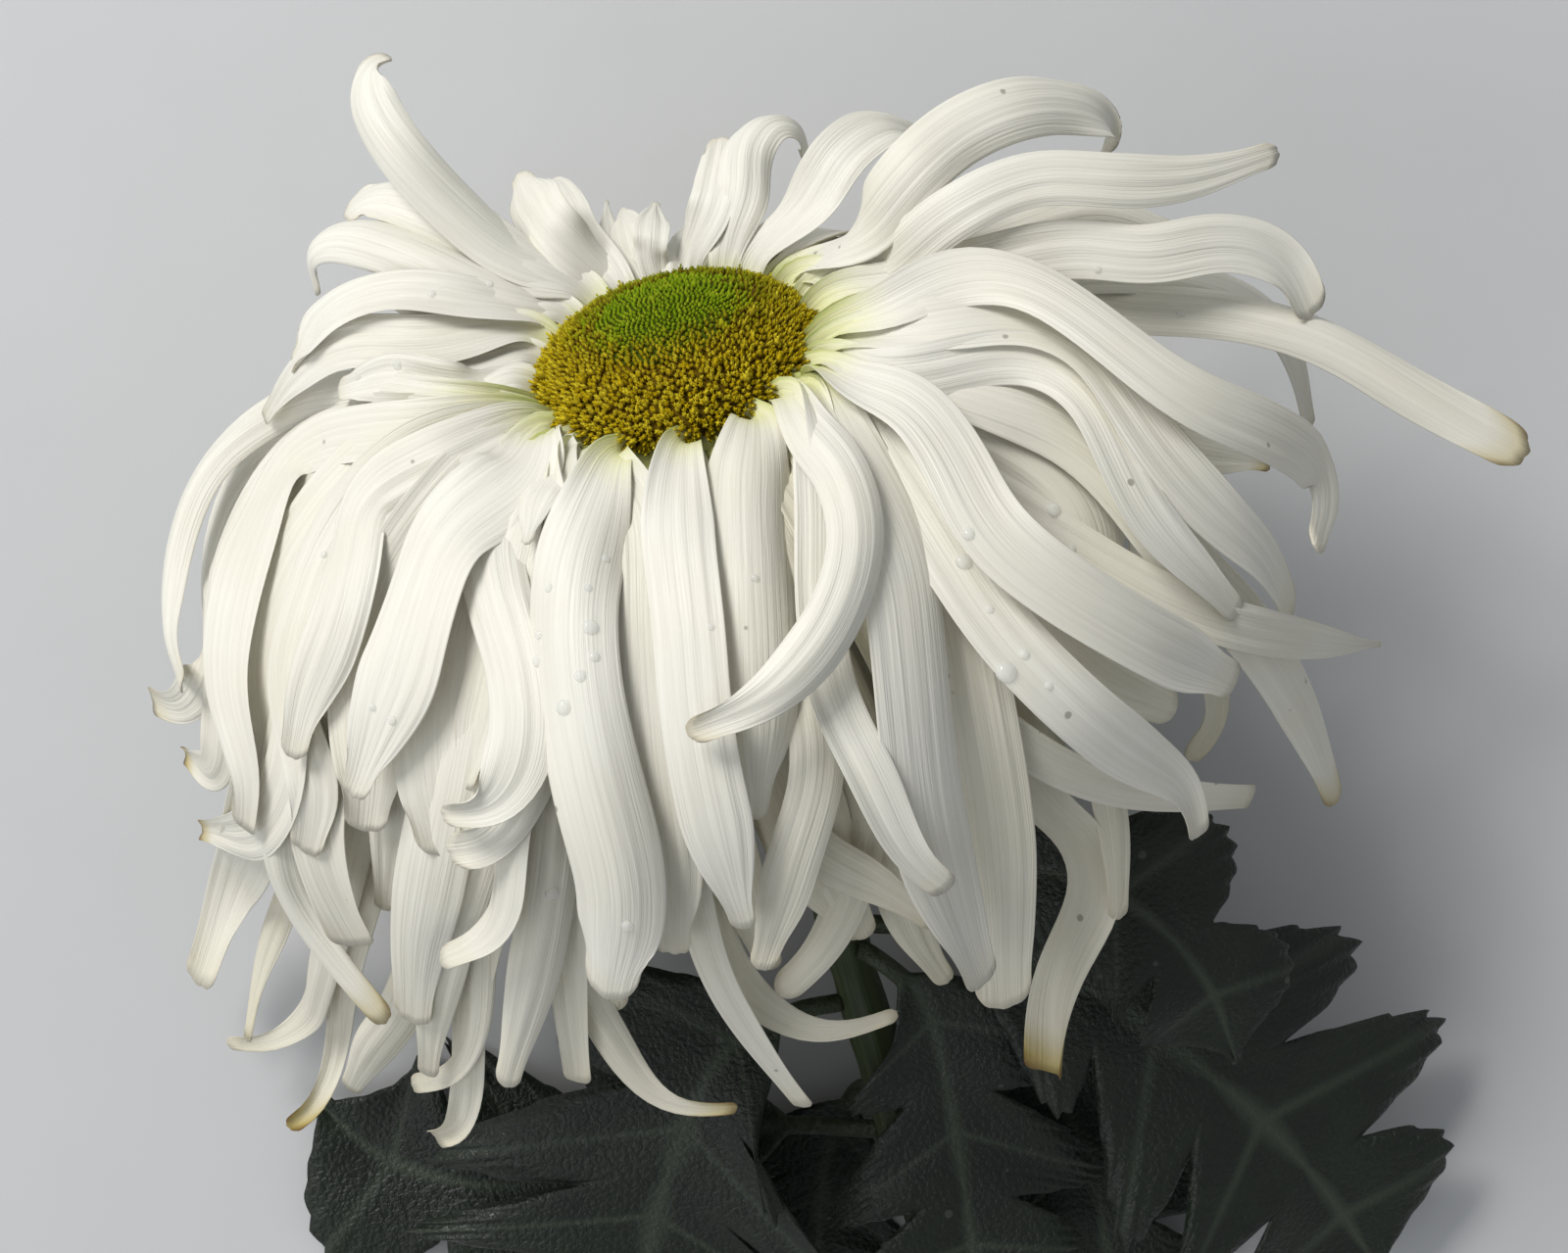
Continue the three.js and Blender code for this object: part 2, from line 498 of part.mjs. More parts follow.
function involucre() {
  const profile = [[0, -14.2], [3.8, -14.2], [6.5, -12.6], [11, -10], [14.6, -7.6], [15, -6.5], [0, -6.5]];
  const cup = new THREE.LatheGeometry(profile.map(([r, h]) => new THREE.Vector2(r, h)), 20);
  const bracts = BRACT_ROWS.flatMap(({ count, base, middle, tip, width }, row) =>
    Array.from({ length: count }, (_, k) => {
      const turn = (2 * Math.PI * (k + row / 2)) / count;
      const across = vec(Math.cos(turn), 0, -Math.sin(turn));
      const place = ([radius, rise]) => vec(radius * Math.sin(turn), rise, radius * Math.cos(turn));
      const rings = [[base, 0.5], [middle, 1], [tip, 0.3]].map(([at, share]) => {
        const half = across.clone().multiplyScalar((share * width) / 2);
        const skin = vec(0.25 * Math.sin(turn), -0.35, 0.25 * Math.cos(turn));
        const middlePoint = place(at);
        return [
          middlePoint.clone().sub(half).add(skin),
          middlePoint.clone().add(half).add(skin),
          middlePoint.clone().add(half).sub(skin),
          middlePoint.clone().sub(half).sub(skin),
        ];
      });
      return loft(rings);
    }),
  );
  return geometryOf(wasm.Manifold.union([cup, ...bracts].map(solidOf)));
}

// The stem: a twelve-sided section whose lowest flat meets the table at the cut end
function stem() {
  const sides = 12;
  const corner = STEM_RADIUS / Math.cos(Math.PI / sides);
  const section = new THREE.Shape(
    Array.from({ length: sides }, (_, k) => {
      const turn = (2 * Math.PI * (k + 0.5)) / sides;
      return new THREE.Vector2(corner * Math.cos(turn), corner * Math.sin(turn));
    }),
  );
  return new THREE.ExtrudeGeometry(section, { steps: STEM_STEPS, extrudePath: stemLine });
}

// The leaves. share is the place on the stem, path the midrib's pixels, level its heights above
// the table, width the blade's full width, and lobes the pairs of lobes.
const LEAVES = [
  {
    name: "leaf_centre",
    share: 0.5,
    path: [[805, 1035], [735, 1080], [690, 1175], [660, 1279], [640, 1380]],
    level: [22, 24, 22, 16, 10],
    width: 74,
    lobes: 4,
  },
  {
    name: "leaf_middle",
    share: 0.53,
    path: [[990, 1050], [1066, 1102], [1112, 1190], [1130, 1290], [1138, 1380]],
    level: [13, 10, 8, 6, 5],
    width: 46,
    lobes: 3,
  },
  {
    name: "leaf_right",
    share: 0.43,
    path: [[960, 950], [1110, 1010], [1250, 1110], [1340, 1200], [1410, 1300]],
    level: [24, 26, 23, 17, 9],
    width: 62,
    lobes: 4,
  },
  {
    name: "leaf_upper_right",
    share: 0.37,
    path: [[960, 885], [1080, 893], [1170, 935], [1232, 1005], [1262, 1085]],
    level: [31, 36, 38, 36, 30],
    width: 34,
    lobes: 3,
  },
  {
    name: "leaf_left",
    share: 0.62,
    path: [[780, 1150], [640, 1190], [500, 1210], [390, 1180], [320, 1120]],
    level: [8, 5, 4, 3.5, 4],
    width: 50,
    lobes: 3,
  },
  {
    name: "leaf_under",
    share: 0.58,
    path: [[876, 1112], [850, 1162], [838, 1220], [836, 1290], [842, 1350]],
    level: [8.5, 4, 1.8, 1, 1],
    width: 44,
    lobes: 3,
  },
  {
    name: "leaf_front",
    share: 0.45,
    path: [[890, 975], [940, 1020], [968, 1120], [985, 1220], [1000, 1340]],
    level: [25, 24, 20, 17, 14],
    width: 44,
    lobes: 3,
  },
];
const LEAF_STEPS = 32;
const LOBE_CUT = 0.34;
const PETIOLE_SEAT = 1;
const PETIOLE_SHARE = 0.16;
const SIDE_SLANT = 28;

// The share of a leaf's half width at a share of its length: a pointed oval cut deeply into lobes,
// whose edges carry small teeth
function leafReach(share, lobes, station) {
  const run = (share - PETIOLE_SHARE) / (1 - PETIOLE_SHARE);
  const oval = Math.sin(Math.PI * clamp(0.93 * run + 0.07, 0, 1)) ** 0.7;
  const lobe = Math.abs(Math.sin(Math.PI * (lobes * run + 0.1))) ** 0.8;
  const tooth = station % 2 ? 1.07 : 0.93;
  return oval * lerp(LOBE_CUT, 1, lobe) * tooth;
}

function leafBlade({ share, path, level, width, lobes }) {
  const stalk = stemLine.getPoint(share);
  const seen = path.map((pixel, i) => seenAt(pixel, level[i]));
  const leave = seen[0].clone().sub(stalk).normalize();
  const foot = stalk.clone().addScaledVector(leave, STEM_RADIUS + PETIOLE_SEAT);
  const curve = new THREE.CatmullRomCurve3([foot, ...seen], false, "centripetal");
  const places = curve.getSpacedPoints(LEAF_STEPS);
  const rings = places.map((place, i) => {
    const run = i / LEAF_STEPS;
    const along = places[Math.min(i + 1, LEAF_STEPS)].clone().sub(places[Math.max(i - 1, 0)]).normalize();
    const across = along.clone().cross(vec(0, 0, 1)).normalize();
    const blade = run > PETIOLE_SHARE;
    const reach = blade ? Math.max(0.6, (leafReach(run, lobes, i) * width) / 2) : PETIOLE_WIDTH / 2;
    const slant = blade ? radians(SIDE_SLANT) * Math.min(1, 2.2 * (1 - run)) : 0;
    const half = (blade ? LEAF_THICKNESS : PETIOLE_WIDTH * 0.8) / 2;
    const edge = (side) => {
      const point = place.clone().addScaledVector(across, side * reach * Math.cos(slant));
      point.addScaledVector(along, reach * Math.sin(slant));
      point.z += blade ? 0.1 * reach * Math.sin(9 * run + side) + 0.06 * reach : 0;
      point.z = Math.max(point.z, half + 0.2);
      return point;
    };
    const left = edge(-1);
    const right = edge(1);
    const up = vec(0, 0, half);
    return [
      left.clone().add(up),
      place.clone().add(up),
      right.clone().add(up),
      right.clone().sub(up),
      place.clone().sub(up),
      left.clone().sub(up),
    ];
  });
  return loft(rings);
}

// The materials
const petal = new THREE.MeshStandardMaterial({ color: 0xf4f3ee, roughness: 0.62, metalness: 0 });
const pollenYellow = new THREE.MeshStandardMaterial({ color: 0xa08a10, roughness: 0.85, metalness: 0 });
const budGreen = new THREE.MeshStandardMaterial({ color: 0x6f8f16, roughness: 0.8, metalness: 0 });
const leafGreen = new THREE.MeshStandardMaterial({ color: 0x26331f, roughness: 0.7, metalness: 0 });
const stemGreen = new THREE.MeshStandardMaterial({ color: 0x4d5f2f, roughness: 0.6, metalness: 0 });

function named(name, geometry, material) {
  const mesh = new THREE.Mesh(geometry, material);
  mesh.name = name;
  return mesh;
}

const head = new THREE.Group();
head.position.copy(CENTRE);
head.rotation.x = LEAN;
head.add(named("disc_florets", discFlorets(), pollenYellow));
head.add(named("disc_buds", discBuds(), budGreen));
head.add(named("involucre", involucre(), stemGreen));

const flower = new THREE.Group();
flower.add(head);
flower.add(named("ray_florets", rayFlorets(), petal));
flower.add(named("stem", stem(), stemGreen));
LEAVES.forEach((leaf) => flower.add(named(leaf.name, leafBlade(leaf), leafGreen)));

// The origin moves to the middle of the whole flower's footprint, on the table
const footprint = new THREE.Box3().setFromObject(flower, true).getCenter(new THREE.Vector3());
flower.position.set(-footprint.x, -footprint.y, 0);
const chrysanthemum = new THREE.Group();
chrysanthemum.add(flower);

export default chrysanthemum;
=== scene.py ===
"""A cut white chrysanthemum that lies on a pale table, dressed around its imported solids.

Lengths in the classes are metres unless a name says otherwise, and angles are degrees. The stem
runs towards -Y, the bloom's axis leans up towards +Y, and the table is z = 0. The camera looks
straight down, which shows the laid flower as the photograph shows it from the side.
"""

from __future__ import annotations

import logging
import math
from dataclasses import dataclass, field, replace
from enum import Enum

import bpy
import numpy as np
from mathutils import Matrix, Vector
from mathutils.bvhtree import BVHTree

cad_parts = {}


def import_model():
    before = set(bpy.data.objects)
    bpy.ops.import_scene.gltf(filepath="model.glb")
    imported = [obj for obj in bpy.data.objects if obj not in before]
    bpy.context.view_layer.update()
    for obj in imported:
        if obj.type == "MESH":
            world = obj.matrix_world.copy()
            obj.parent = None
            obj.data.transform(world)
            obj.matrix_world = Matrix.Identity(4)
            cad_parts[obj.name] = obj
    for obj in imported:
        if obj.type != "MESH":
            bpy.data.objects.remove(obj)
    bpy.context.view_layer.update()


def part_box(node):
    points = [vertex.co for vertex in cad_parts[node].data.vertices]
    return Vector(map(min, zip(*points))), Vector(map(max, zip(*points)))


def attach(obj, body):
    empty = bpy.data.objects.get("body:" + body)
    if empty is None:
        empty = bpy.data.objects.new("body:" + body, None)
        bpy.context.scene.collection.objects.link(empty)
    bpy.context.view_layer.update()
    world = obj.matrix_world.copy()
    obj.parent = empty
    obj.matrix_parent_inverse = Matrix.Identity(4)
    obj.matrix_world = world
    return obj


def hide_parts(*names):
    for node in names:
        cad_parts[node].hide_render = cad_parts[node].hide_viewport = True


log = logging.getLogger("chrysanthemum")

Array = np.ndarray
Pixel = tuple[float, float]
Vec3 = tuple[float, float, float]
Colour = tuple[float, float, float]
Socket = bpy.types.NodeSocket
Feed = Socket | float | tuple

MM = 0.001
GOLDEN_ANGLE = 137.508
UP = np.array([0.0, 0.0, 1.0])
BODY = "root"


def smoothstep(x: Array, low: float, high: float) -> Array:
    """0 below low, 1 above high, and the smooth cubic 3t^2 - 2t^3 between."""
    t = np.clip((np.asarray(x, float) - low) / (high - low), 0.0, 1.0)
    return t * t * (3.0 - 2.0 * t)


def lerp(a: Array, b: Array, t: Array) -> Array:
    """The value a share t of the way from a to b."""
    return a + (b - a) * t


def draw(n: float) -> float:
    """A repeatable draw between 0 and 1 for the n-th repeat: the fraction of a large sine."""
    s = math.sin(n * 12.9898) * 43758.5453
    return s - math.floor(s)


def draws(n: Array) -> Array:
    """The same repeatable draws for a whole array of numbers."""
    s = np.sin(np.asarray(n, float) * 12.9898) * 43758.5453
    return s - np.floor(s)


def unit(v: Array) -> Array:
    """Vectors of length 1 along the last axis."""
    return v / np.maximum(np.linalg.norm(v, axis=-1, keepdims=True), 1e-12)


def squared(v: Array, along: Array) -> Array:
    """Unit vectors without the share of v that runs along unit directions."""
    return unit(v - along * np.sum(v * along, axis=1, keepdims=True))


def turned(v: Array, axis: Array, angle: Array) -> Array:
    """Vectors turned about unit axes: v cos + (axis x v) sin + axis (axis . v)(1 - cos)."""
    c, s = np.cos(angle)[..., None], np.sin(angle)[..., None]
    return v * c + np.cross(axis, v) * s + axis * np.sum(v * axis, axis=-1, keepdims=True) * (1.0 - c)


def lengths(line: Array) -> Array:
    """How far along a line each of its points lies."""
    return np.concatenate([[0], np.cumsum(np.linalg.norm(np.diff(line, axis=0), axis=1))])


def smooth_line(points: Array, count: int, dense: int = 24) -> Array:
    """A centripetal Catmull-Rom curve through points, cut into even lengths.

    Each stretch is a cubic Hermite whose end slopes weigh the neighbouring stretches by the square
    roots of their lengths.

    Args:
        points: the points to pass, one a row.
        count: how many points to give back.
        dense: points worked out in each stretch before the line is cut evenly.

    Returns:
        count points, the same distance apart along the curve.
    """
    p = np.array([2 * points[0] - points[1], *points, 2 * points[-1] - points[-2]])
    step = np.sqrt(np.linalg.norm(np.diff(p, axis=0), axis=1))[:, None]
    before, here, after = step[:-2], step[1:-1], step[2:]
    p0, p1, p2, p3 = p[:-3], p[1:-2], p[2:-1], p[3:]
    m1 = ((p1 - p0) / before - (p2 - p0) / (before + here) + (p2 - p1) / here) * here
    m2 = ((p2 - p1) / here - (p3 - p1) / (here + after) + (p3 - p2) / after) * here
    t = np.linspace(0, 1, dense, endpoint=False)[None, :, None]
    curve = (
        (2 * t**3 - 3 * t**2 + 1) * p1[:, None]
        + (t**3 - 2 * t**2 + t) * m1[:, None]
        + (3 * t**2 - 2 * t**3) * p2[:, None]
        + (t**3 - t**2) * m2[:, None]
    ).reshape(-1, 3)
    curve = np.vstack([curve, p[-2]])
    run = lengths(curve)
    at = np.linspace(0, run[-1], count)
    return np.stack([np.interp(at, run, curve[:, k]) for k in range(3)], axis=1)


def softened(line: Array, rounds: int) -> Array:
    """A line with rounder bends: each inner point moves half way to its neighbours' middle.

    Args:
        line: the points, one a row.
        rounds: how many times they move.

    Returns:
        The softened line, with the same two ends.
    """
    line = line.copy()
    for _ in range(rounds):
        line[1:-1] = (line[:-2] + 2 * line[1:-1] + line[2:]) / 4
    return line


def tangents(line: Array) -> Array:
    """Unit directions along a line, from each point's two neighbours."""
    return unit(np.gradient(line, axis=0))


def carried(line: Array, *moves: tuple[Array, Array]) -> Array:
    """A grid of points: each point of a line plus the sum of directions times their amounts.

    Args:
        line: the points, one a row.
        moves: pairs of directions, one a row, and amounts over the grid.

    Returns:
        The grid's points.
    """
    grid = line[:, None]
    for direction, amount in moves:
        grid = grid + direction[:, None] * amount[..., None]
    return grid


class Slot(Enum):
    """The record's material slots."""

    PETAL = "petal"
    POLLEN_YELLOW = "pollen_yellow"
    BUD_GREEN = "bud_green"
    LEAF_GREEN = "leaf_green"
    STEM_GREEN = "stem_green"


def grid_faces(number: Array) -> Array:
    """The quads between the neighbouring rows and columns of a grid of point numbers."""
    corners = [number[:-1, :-1], number[:-1, 1:], number[1:, 1:], number[1:, :-1]]
    return np.stack(corners, -1).reshape(-1, 4)


def tube_faces(rings: int, around: int) -> Array:
    """The quads of a tube of rings, open at both ends."""
    number = np.arange(rings * around).reshape(rings, around)
    return grid_faces(np.hstack([number, number[:, :1]]))


def closed_tube_faces(rings: int, around: int) -> Array:
    """The faces of a tube whose first and last rings are closed by fans of triangles.

    Args:
        rings: rings along the tube.
        around: points in each ring.

    Returns:
        The faces, four numbers a row, where -1 ends a triangle.
    """
    k = np.arange(1, around - 1)
    last, none = 0 * k + (rings - 1) * around, 0 * k - 1
    cap = np.stack([last, last + k, last + k + 1, none], 1)
    foot = np.stack([0 * k, k + 1, k, none], 1)
    return np.vstack([tube_faces(rings, around), cap, foot])


@dataclass
class Surface:
    """A mesh as arrays: points, faces of four point numbers, and values on the points.

    A triangle's unused number is -1.
    """

    points: Array
    quads: Array
    uv: Array
    values: dict[str, Array] = field(default_factory=dict)

    @staticmethod
    def joined(parts: list["Surface"]) -> "Surface":
        """One surface from several, whose points and faces follow each other.

        Args:
            parts: surfaces that carry at least the first one's named values.

        Returns:
            The joined surface.
        """
        starts = np.cumsum([0] + [len(p.points) for p in parts[:-1]])
        quads = np.vstack([np.where(p.quads < 0, -1, p.quads + s) for p, s in zip(parts, starts)])
        values = {k: np.concatenate([p.values[k] for p in parts]) for k in parts[0].values}
        points, uv = (np.vstack([getattr(p, part) for p in parts]) for part in ("points", "uv"))
        return Surface(points, quads, uv, values)

    @staticmethod
    def strap(
        middle: Array, out: Array, skin: Array, v: Array, s: Array, low: float, **values: Array | float
    ) -> "Surface":
        """A closed strap: a grid's points moved out and in by its skin, and joined round the rim.

        Args:
            middle: the grid of its middle points, rows by columns.
            out: the way that each row's face looks.
            skin: half its thickness over the grid.
            v: shares of its length, one a row.
            s: places across it, -1 to 1.
            low: the least height of a point above the table.
            values: what its points carry besides, a grid for both faces or one number.

        Returns:
            The surface.
        """
        shape = middle.shape[:2]
        faces = [(middle + sign * out[:, None] * skin[..., None]).reshape(-1, 3) for sign in (1, -1)]
        points = np.vstack(faces)
        points[:, 2] = np.maximum(points[:, 2], low)
        grids = {"share": v, "across": s, **values}
        held = {k: np.tile((x + np.zeros(shape)).ravel(), 2) for k, x in grids.items()}
        held["underside"] = np.repeat([0.0, 1.0], shape[0] * shape[1])
        number = np.arange(shape[0] * shape[1]).reshape(shape)
        top = grid_faces(number)
        edges = [number[0, :-1], number[:-1, -1], number[-1, :0:-1], number[:0:-1, 0]]
        rim = np.concatenate(edges)
        after = np.roll(rim, -1)
        sides = np.stack([after, rim, rim + number.size, after + number.size], -1)
        uv = np.stack([0.5 + 0.5 * held["across"], held["share"]], axis=1)
        return Surface(points, np.vstack([top, top[:, ::-1] + number.size, sides]), uv, held)

    def piece(
        self, name: str, material: bpy.types.Material, slot: Slot | None, *nodes: str
    ) -> bpy.types.Object:
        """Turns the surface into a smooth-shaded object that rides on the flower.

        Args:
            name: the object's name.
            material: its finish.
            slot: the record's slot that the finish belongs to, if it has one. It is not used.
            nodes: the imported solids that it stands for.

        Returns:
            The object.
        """
        mesh = bpy.data.meshes.new(name)
        used = self.quads >= 0
        corners = self.quads[used].astype(np.int32)
        starts = np.cumsum(used.sum(axis=1)) - used.sum(axis=1)
        mesh.vertices.add(len(self.points))
        mesh.vertices.foreach_set("co", self.points.astype(np.float32).ravel())
        mesh.loops.add(len(corners))
        mesh.loops.foreach_set("vertex_index", corners)
        mesh.polygons.add(len(starts))
        mesh.polygons.foreach_set("loop_start", starts.astype(np.int32))
        mesh.update(calc_edges=True)
        layer = mesh.uv_layers.new(name="UVMap").data
        layer.foreach_set("uv", self.uv[corners].astype(np.float32).ravel())
        for key, value in self.values.items():
            attribute = mesh.attributes.new(key, "FLOAT", "POINT")
            attribute.data.foreach_set("value", value.astype(np.float32).ravel())
        mesh.polygons.foreach_set("use_smooth", np.ones(len(mesh.polygons), bool))
        mesh.materials.append(material)
        mesh.update()
        piece = bpy.data.objects.new(name, mesh)
        bpy.context.scene.collection.objects.link(piece)
        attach(piece, BODY)
        if nodes:
            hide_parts(*nodes)
        log.info("%s: %d points, %d faces", name, len(mesh.vertices), len(mesh.polygons))
        return piece


@dataclass(frozen=True)
class Head:
    """The bloom's own frame and the mound that its rays drape over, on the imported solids.

    The disc's middle lies disc_height above the table, over a fixed place behind the stem's cut end.
    """

    x: float
    y: float
    disc_radius: float = 18 * MM
    disc_height: float = 66 * MM
    axis_lift: float = 36.8
    dome_rise: float = 7.5 * MM
    bud_radius: float = 9.5 * MM
    stem_radius: float = 3 * MM
    stem_start: float = 14.5 * MM
    drape_side: float = 76 * MM
    drape_front: float = 58 * MM
    drape_top: float = 8 * MM
    drape_waist: float = -38 * MM

    @staticmethod
    def on_frame() -> "Head":
        """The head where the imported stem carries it.

        The stem bows by a circle from the head to its cut end, so the cut end's place gives the
        head's.

        Returns:
            The head's frame.
        """
        low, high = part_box("stem")
        lean = math.radians(Head.axis_lift)
        top_y = -Head.stem_start * math.cos(lean)
        top_z = Head.disc_height - Head.stem_start * math.sin(lean)
        bow = (top_z - Head.stem_radius) / (1 - math.cos(lean))
        return Head(x=(low.x + high.x) / 2, y=low.y - top_y + bow * math.sin(lean))

    @property
    def centre(self) -> Array:
        """The middle of the disc's rim."""
        return np.array([self.x, self.y, self.disc_height])

    @property
    def lean(self) -> float:
        """How far the bloom's axis rises from the table, in radians."""
        return math.radians(self.axis_lift)

    @property
    def side(self) -> Array:
        """The unit vector to the bloom's right."""
        return np.array([1.0, 0.0, 0.0])

    @property
    def axis(self) -> Array:
        """The unit vector out of the disc's face."""
        return np.array([0.0, math.cos(self.lean), math.sin(self.lean)])

    @property
    def front(self) -> Array:
        """The unit vector across the disc towards the side that faces up."""
        return np.array([0.0, -math.sin(self.lean), math.cos(self.lean)])

    def at(self, radius: Array, bearing: Array, rise: Array) -> Array:
        """Points of the head: centre + radius (side sin + front cos) + rise axis.

        Args:
            radius: distances to the bloom's axis.
            bearing: bearings in degrees, 0 in front and 90 to the right.
            rise: heights along the axis.

        Returns:
            The points, one a row.
        """
        r, b, h = np.broadcast_arrays(radius, np.radians(bearing), rise)
        flat = r[..., None] * (np.sin(b)[..., None] * self.side + np.cos(b)[..., None] * self.front)
        return self.centre + flat + h[..., None] * self.axis

    def placed(self, points: Array) -> Array:
        """Points given as (side, front, rise) placed on the head."""
        return self.centre + points @ np.stack([self.side, self.front, self.axis])

    def lathe(self, profile: Array, around: int, **values: float) -> Surface:
        """A closed profile turned about the bloom's axis.

        Args:
            profile: each ring's radius and rise in metres. The last ring joins the first.
            around: points in each ring.
            values: what every point carries.

        Returns:
            The surface.
        """
        rings = np.vstack([profile, profile[:1]])
        turn = np.arange(around) * 360 / around
        points = self.at(rings[:, :1], turn[None, :], rings[:, 1:]).reshape(-1, 3)
        held = {k: np.full(len(points), x) for k, x in values.items()}
        return Surface(points, tube_faces(len(rings), around), np.zeros((len(points), 2)), held)

    def drape_height(self, x: Array, y: Array) -> Array:
        """The height of the mound above places of the table.

        The mound is a half ellipsoid on a skirt, both about the bloom's axis. The height is the
        upper root of the ellipsoid's quadratic, or the skirt's wall where that root lies below the
        waist.

        Args:
            x: places across, measured from the disc's middle.
            y: places along, measured from the disc's middle.

        Returns:
            Heights above the table.
        """
        rise = self.drape_top - self.drape_waist
        side_share = 1 - (x / self.drape_side) ** 2
        front_slope = self.front[2] / self.drape_front
        front_start = self.front[1] * y / self.drape_front
        rise_slope = self.axis[2] / rise
        rise_start = (self.axis[1] * y - self.drape_waist) / rise
        a = front_slope**2 + rise_slope**2
        b = front_slope * front_start + rise_slope * rise_start
        c = front_start**2 + rise_start**2 - side_share
        dome = (np.sqrt(np.maximum(0, b * b - a * c)) - b) / a
        reach = self.drape_front * np.sqrt(np.maximum(0, side_share))
        skirt = (reach - self.front[1] * y) / self.front[2]
        on_dome = self.axis[1] * y + self.axis[2] * dome > self.drape_waist
        return self.disc_height + np.where(on_dome, dome, skirt)


@dataclass(frozen=True)
class PhotoView:
    """The photograph's view, which looks straight down on the laid flower."""

    head: Head
    frame_middle: Pixel = (800.0, 639.5)
    disc_pixel: Pixel = (688.0, 365.0)
    frame_width: float = 1600.0
    focal_pixels: float = 3276.0
    eye_above_disc: float = 400 * MM
    roll: float = 16.0
    sensor: float = 36.0

    @property
    def eye(self) -> Pixel:
        """The camera's place across and along the photograph, from the disc's middle."""
        scale = self.eye_above_disc / self.focal_pixels
        (x, y), (disc_x, disc_y) = self.frame_middle, self.disc_pixel
        return (x - disc_x) * scale, (disc_y - y) * scale

    def unrolled(self, x: Array, y: Array, z: Array) -> Array:
        """Turns photograph-aligned places, measured from the disc's middle, into the row's frame.

        Args:
            x: places towards the photograph's right.
            y: places towards its top.
            z: heights above the table.

        Returns:
            Points, one a row.
        """
        turn = math.radians(self.roll)
        x, y, z = np.broadcast_arrays(x, y, z)
        along_x = self.head.x + x * math.cos(turn) + y * math.sin(turn)
        along_y = self.head.y - x * math.sin(turn) + y * math.cos(turn)
        return np.stack([along_x, along_y, z], axis=-1)

    def seen_at(self, pixels: Array, height: Array) -> Array:
        """The points at given heights that the photograph shows at given pixels.

        Args:
            pixels: column and row, one pair a row.
            height: heights above the table.

        Returns:
            Points, one a row.
        """
        scale = (self.head.disc_height + self.eye_above_disc - height) / self.focal_pixels
        x = self.eye[0] + (pixels[:, 0] - self.frame_middle[0]) * scale
        y = self.eye[1] + (self.frame_middle[1] - pixels[:, 1]) * scale
        return self.unrolled(x, y, np.broadcast_to(height, x.shape))

    def bearing_of(self, pixel: Array, rise: float) -> float:
        """The bearing at which the view through a pixel meets the plane of the ray roots.

        Args:
            pixel: column and row.
            rise: the plane's height along the bloom's axis.

        Returns:
            The bearing in degrees.
        """
        heights = self.head.disc_height + np.array([20 * MM, -20 * MM])
        high, low = self.seen_at(np.array([pixel, pixel], float), heights) - self.head.centre
        a, b = high @ self.head.axis - rise, low @ self.head.axis - rise
        met = lerp(high, low, a / (a - b))
        return math.degrees(math.atan2(met @ self.head.side, met @ self.head.front))

    def make_camera(self) -> None:
        """Creates the camera over the flower and makes it the scene's own."""
        data = bpy.data.cameras.new("camera")
        data.sensor_width = self.sensor
        data.lens = self.focal_pixels * self.sensor / self.frame_width
        data.clip_start = 0.01
        camera = bpy.data.objects.new("camera", data)
        height = self.head.disc_height + self.eye_above_disc
        camera.location = self.unrolled(*self.eye, height).tolist()
        camera.rotation_euler = (0.0, 0.0, -math.radians(self.roll))
        bpy.context.scene.collection.objects.link(camera)
        bpy.context.scene.camera = camera


@dataclass(frozen=True)
class Ray:
    """One ray floret that the photograph shows.

    path lists the columns and rows of its pixels from the disc to the tip, and width is in
    millimetres. lift is how far it lies above the mound at one third, two thirds and the tip, in
    millimetres, and level, where it is given, is its height above the table at those places. roll
    and twist turn its face.
    """

    path: tuple[float, ...]
    width: float
    lift: Vec3 = (0.0, 0.0, 0.0)
    level: Vec3 | None = None
    roll: float = 0.0
    twist: float = 0.0
    tip: float = 0.15
    spoon: float = 0.3
    blunt: float = 1.0


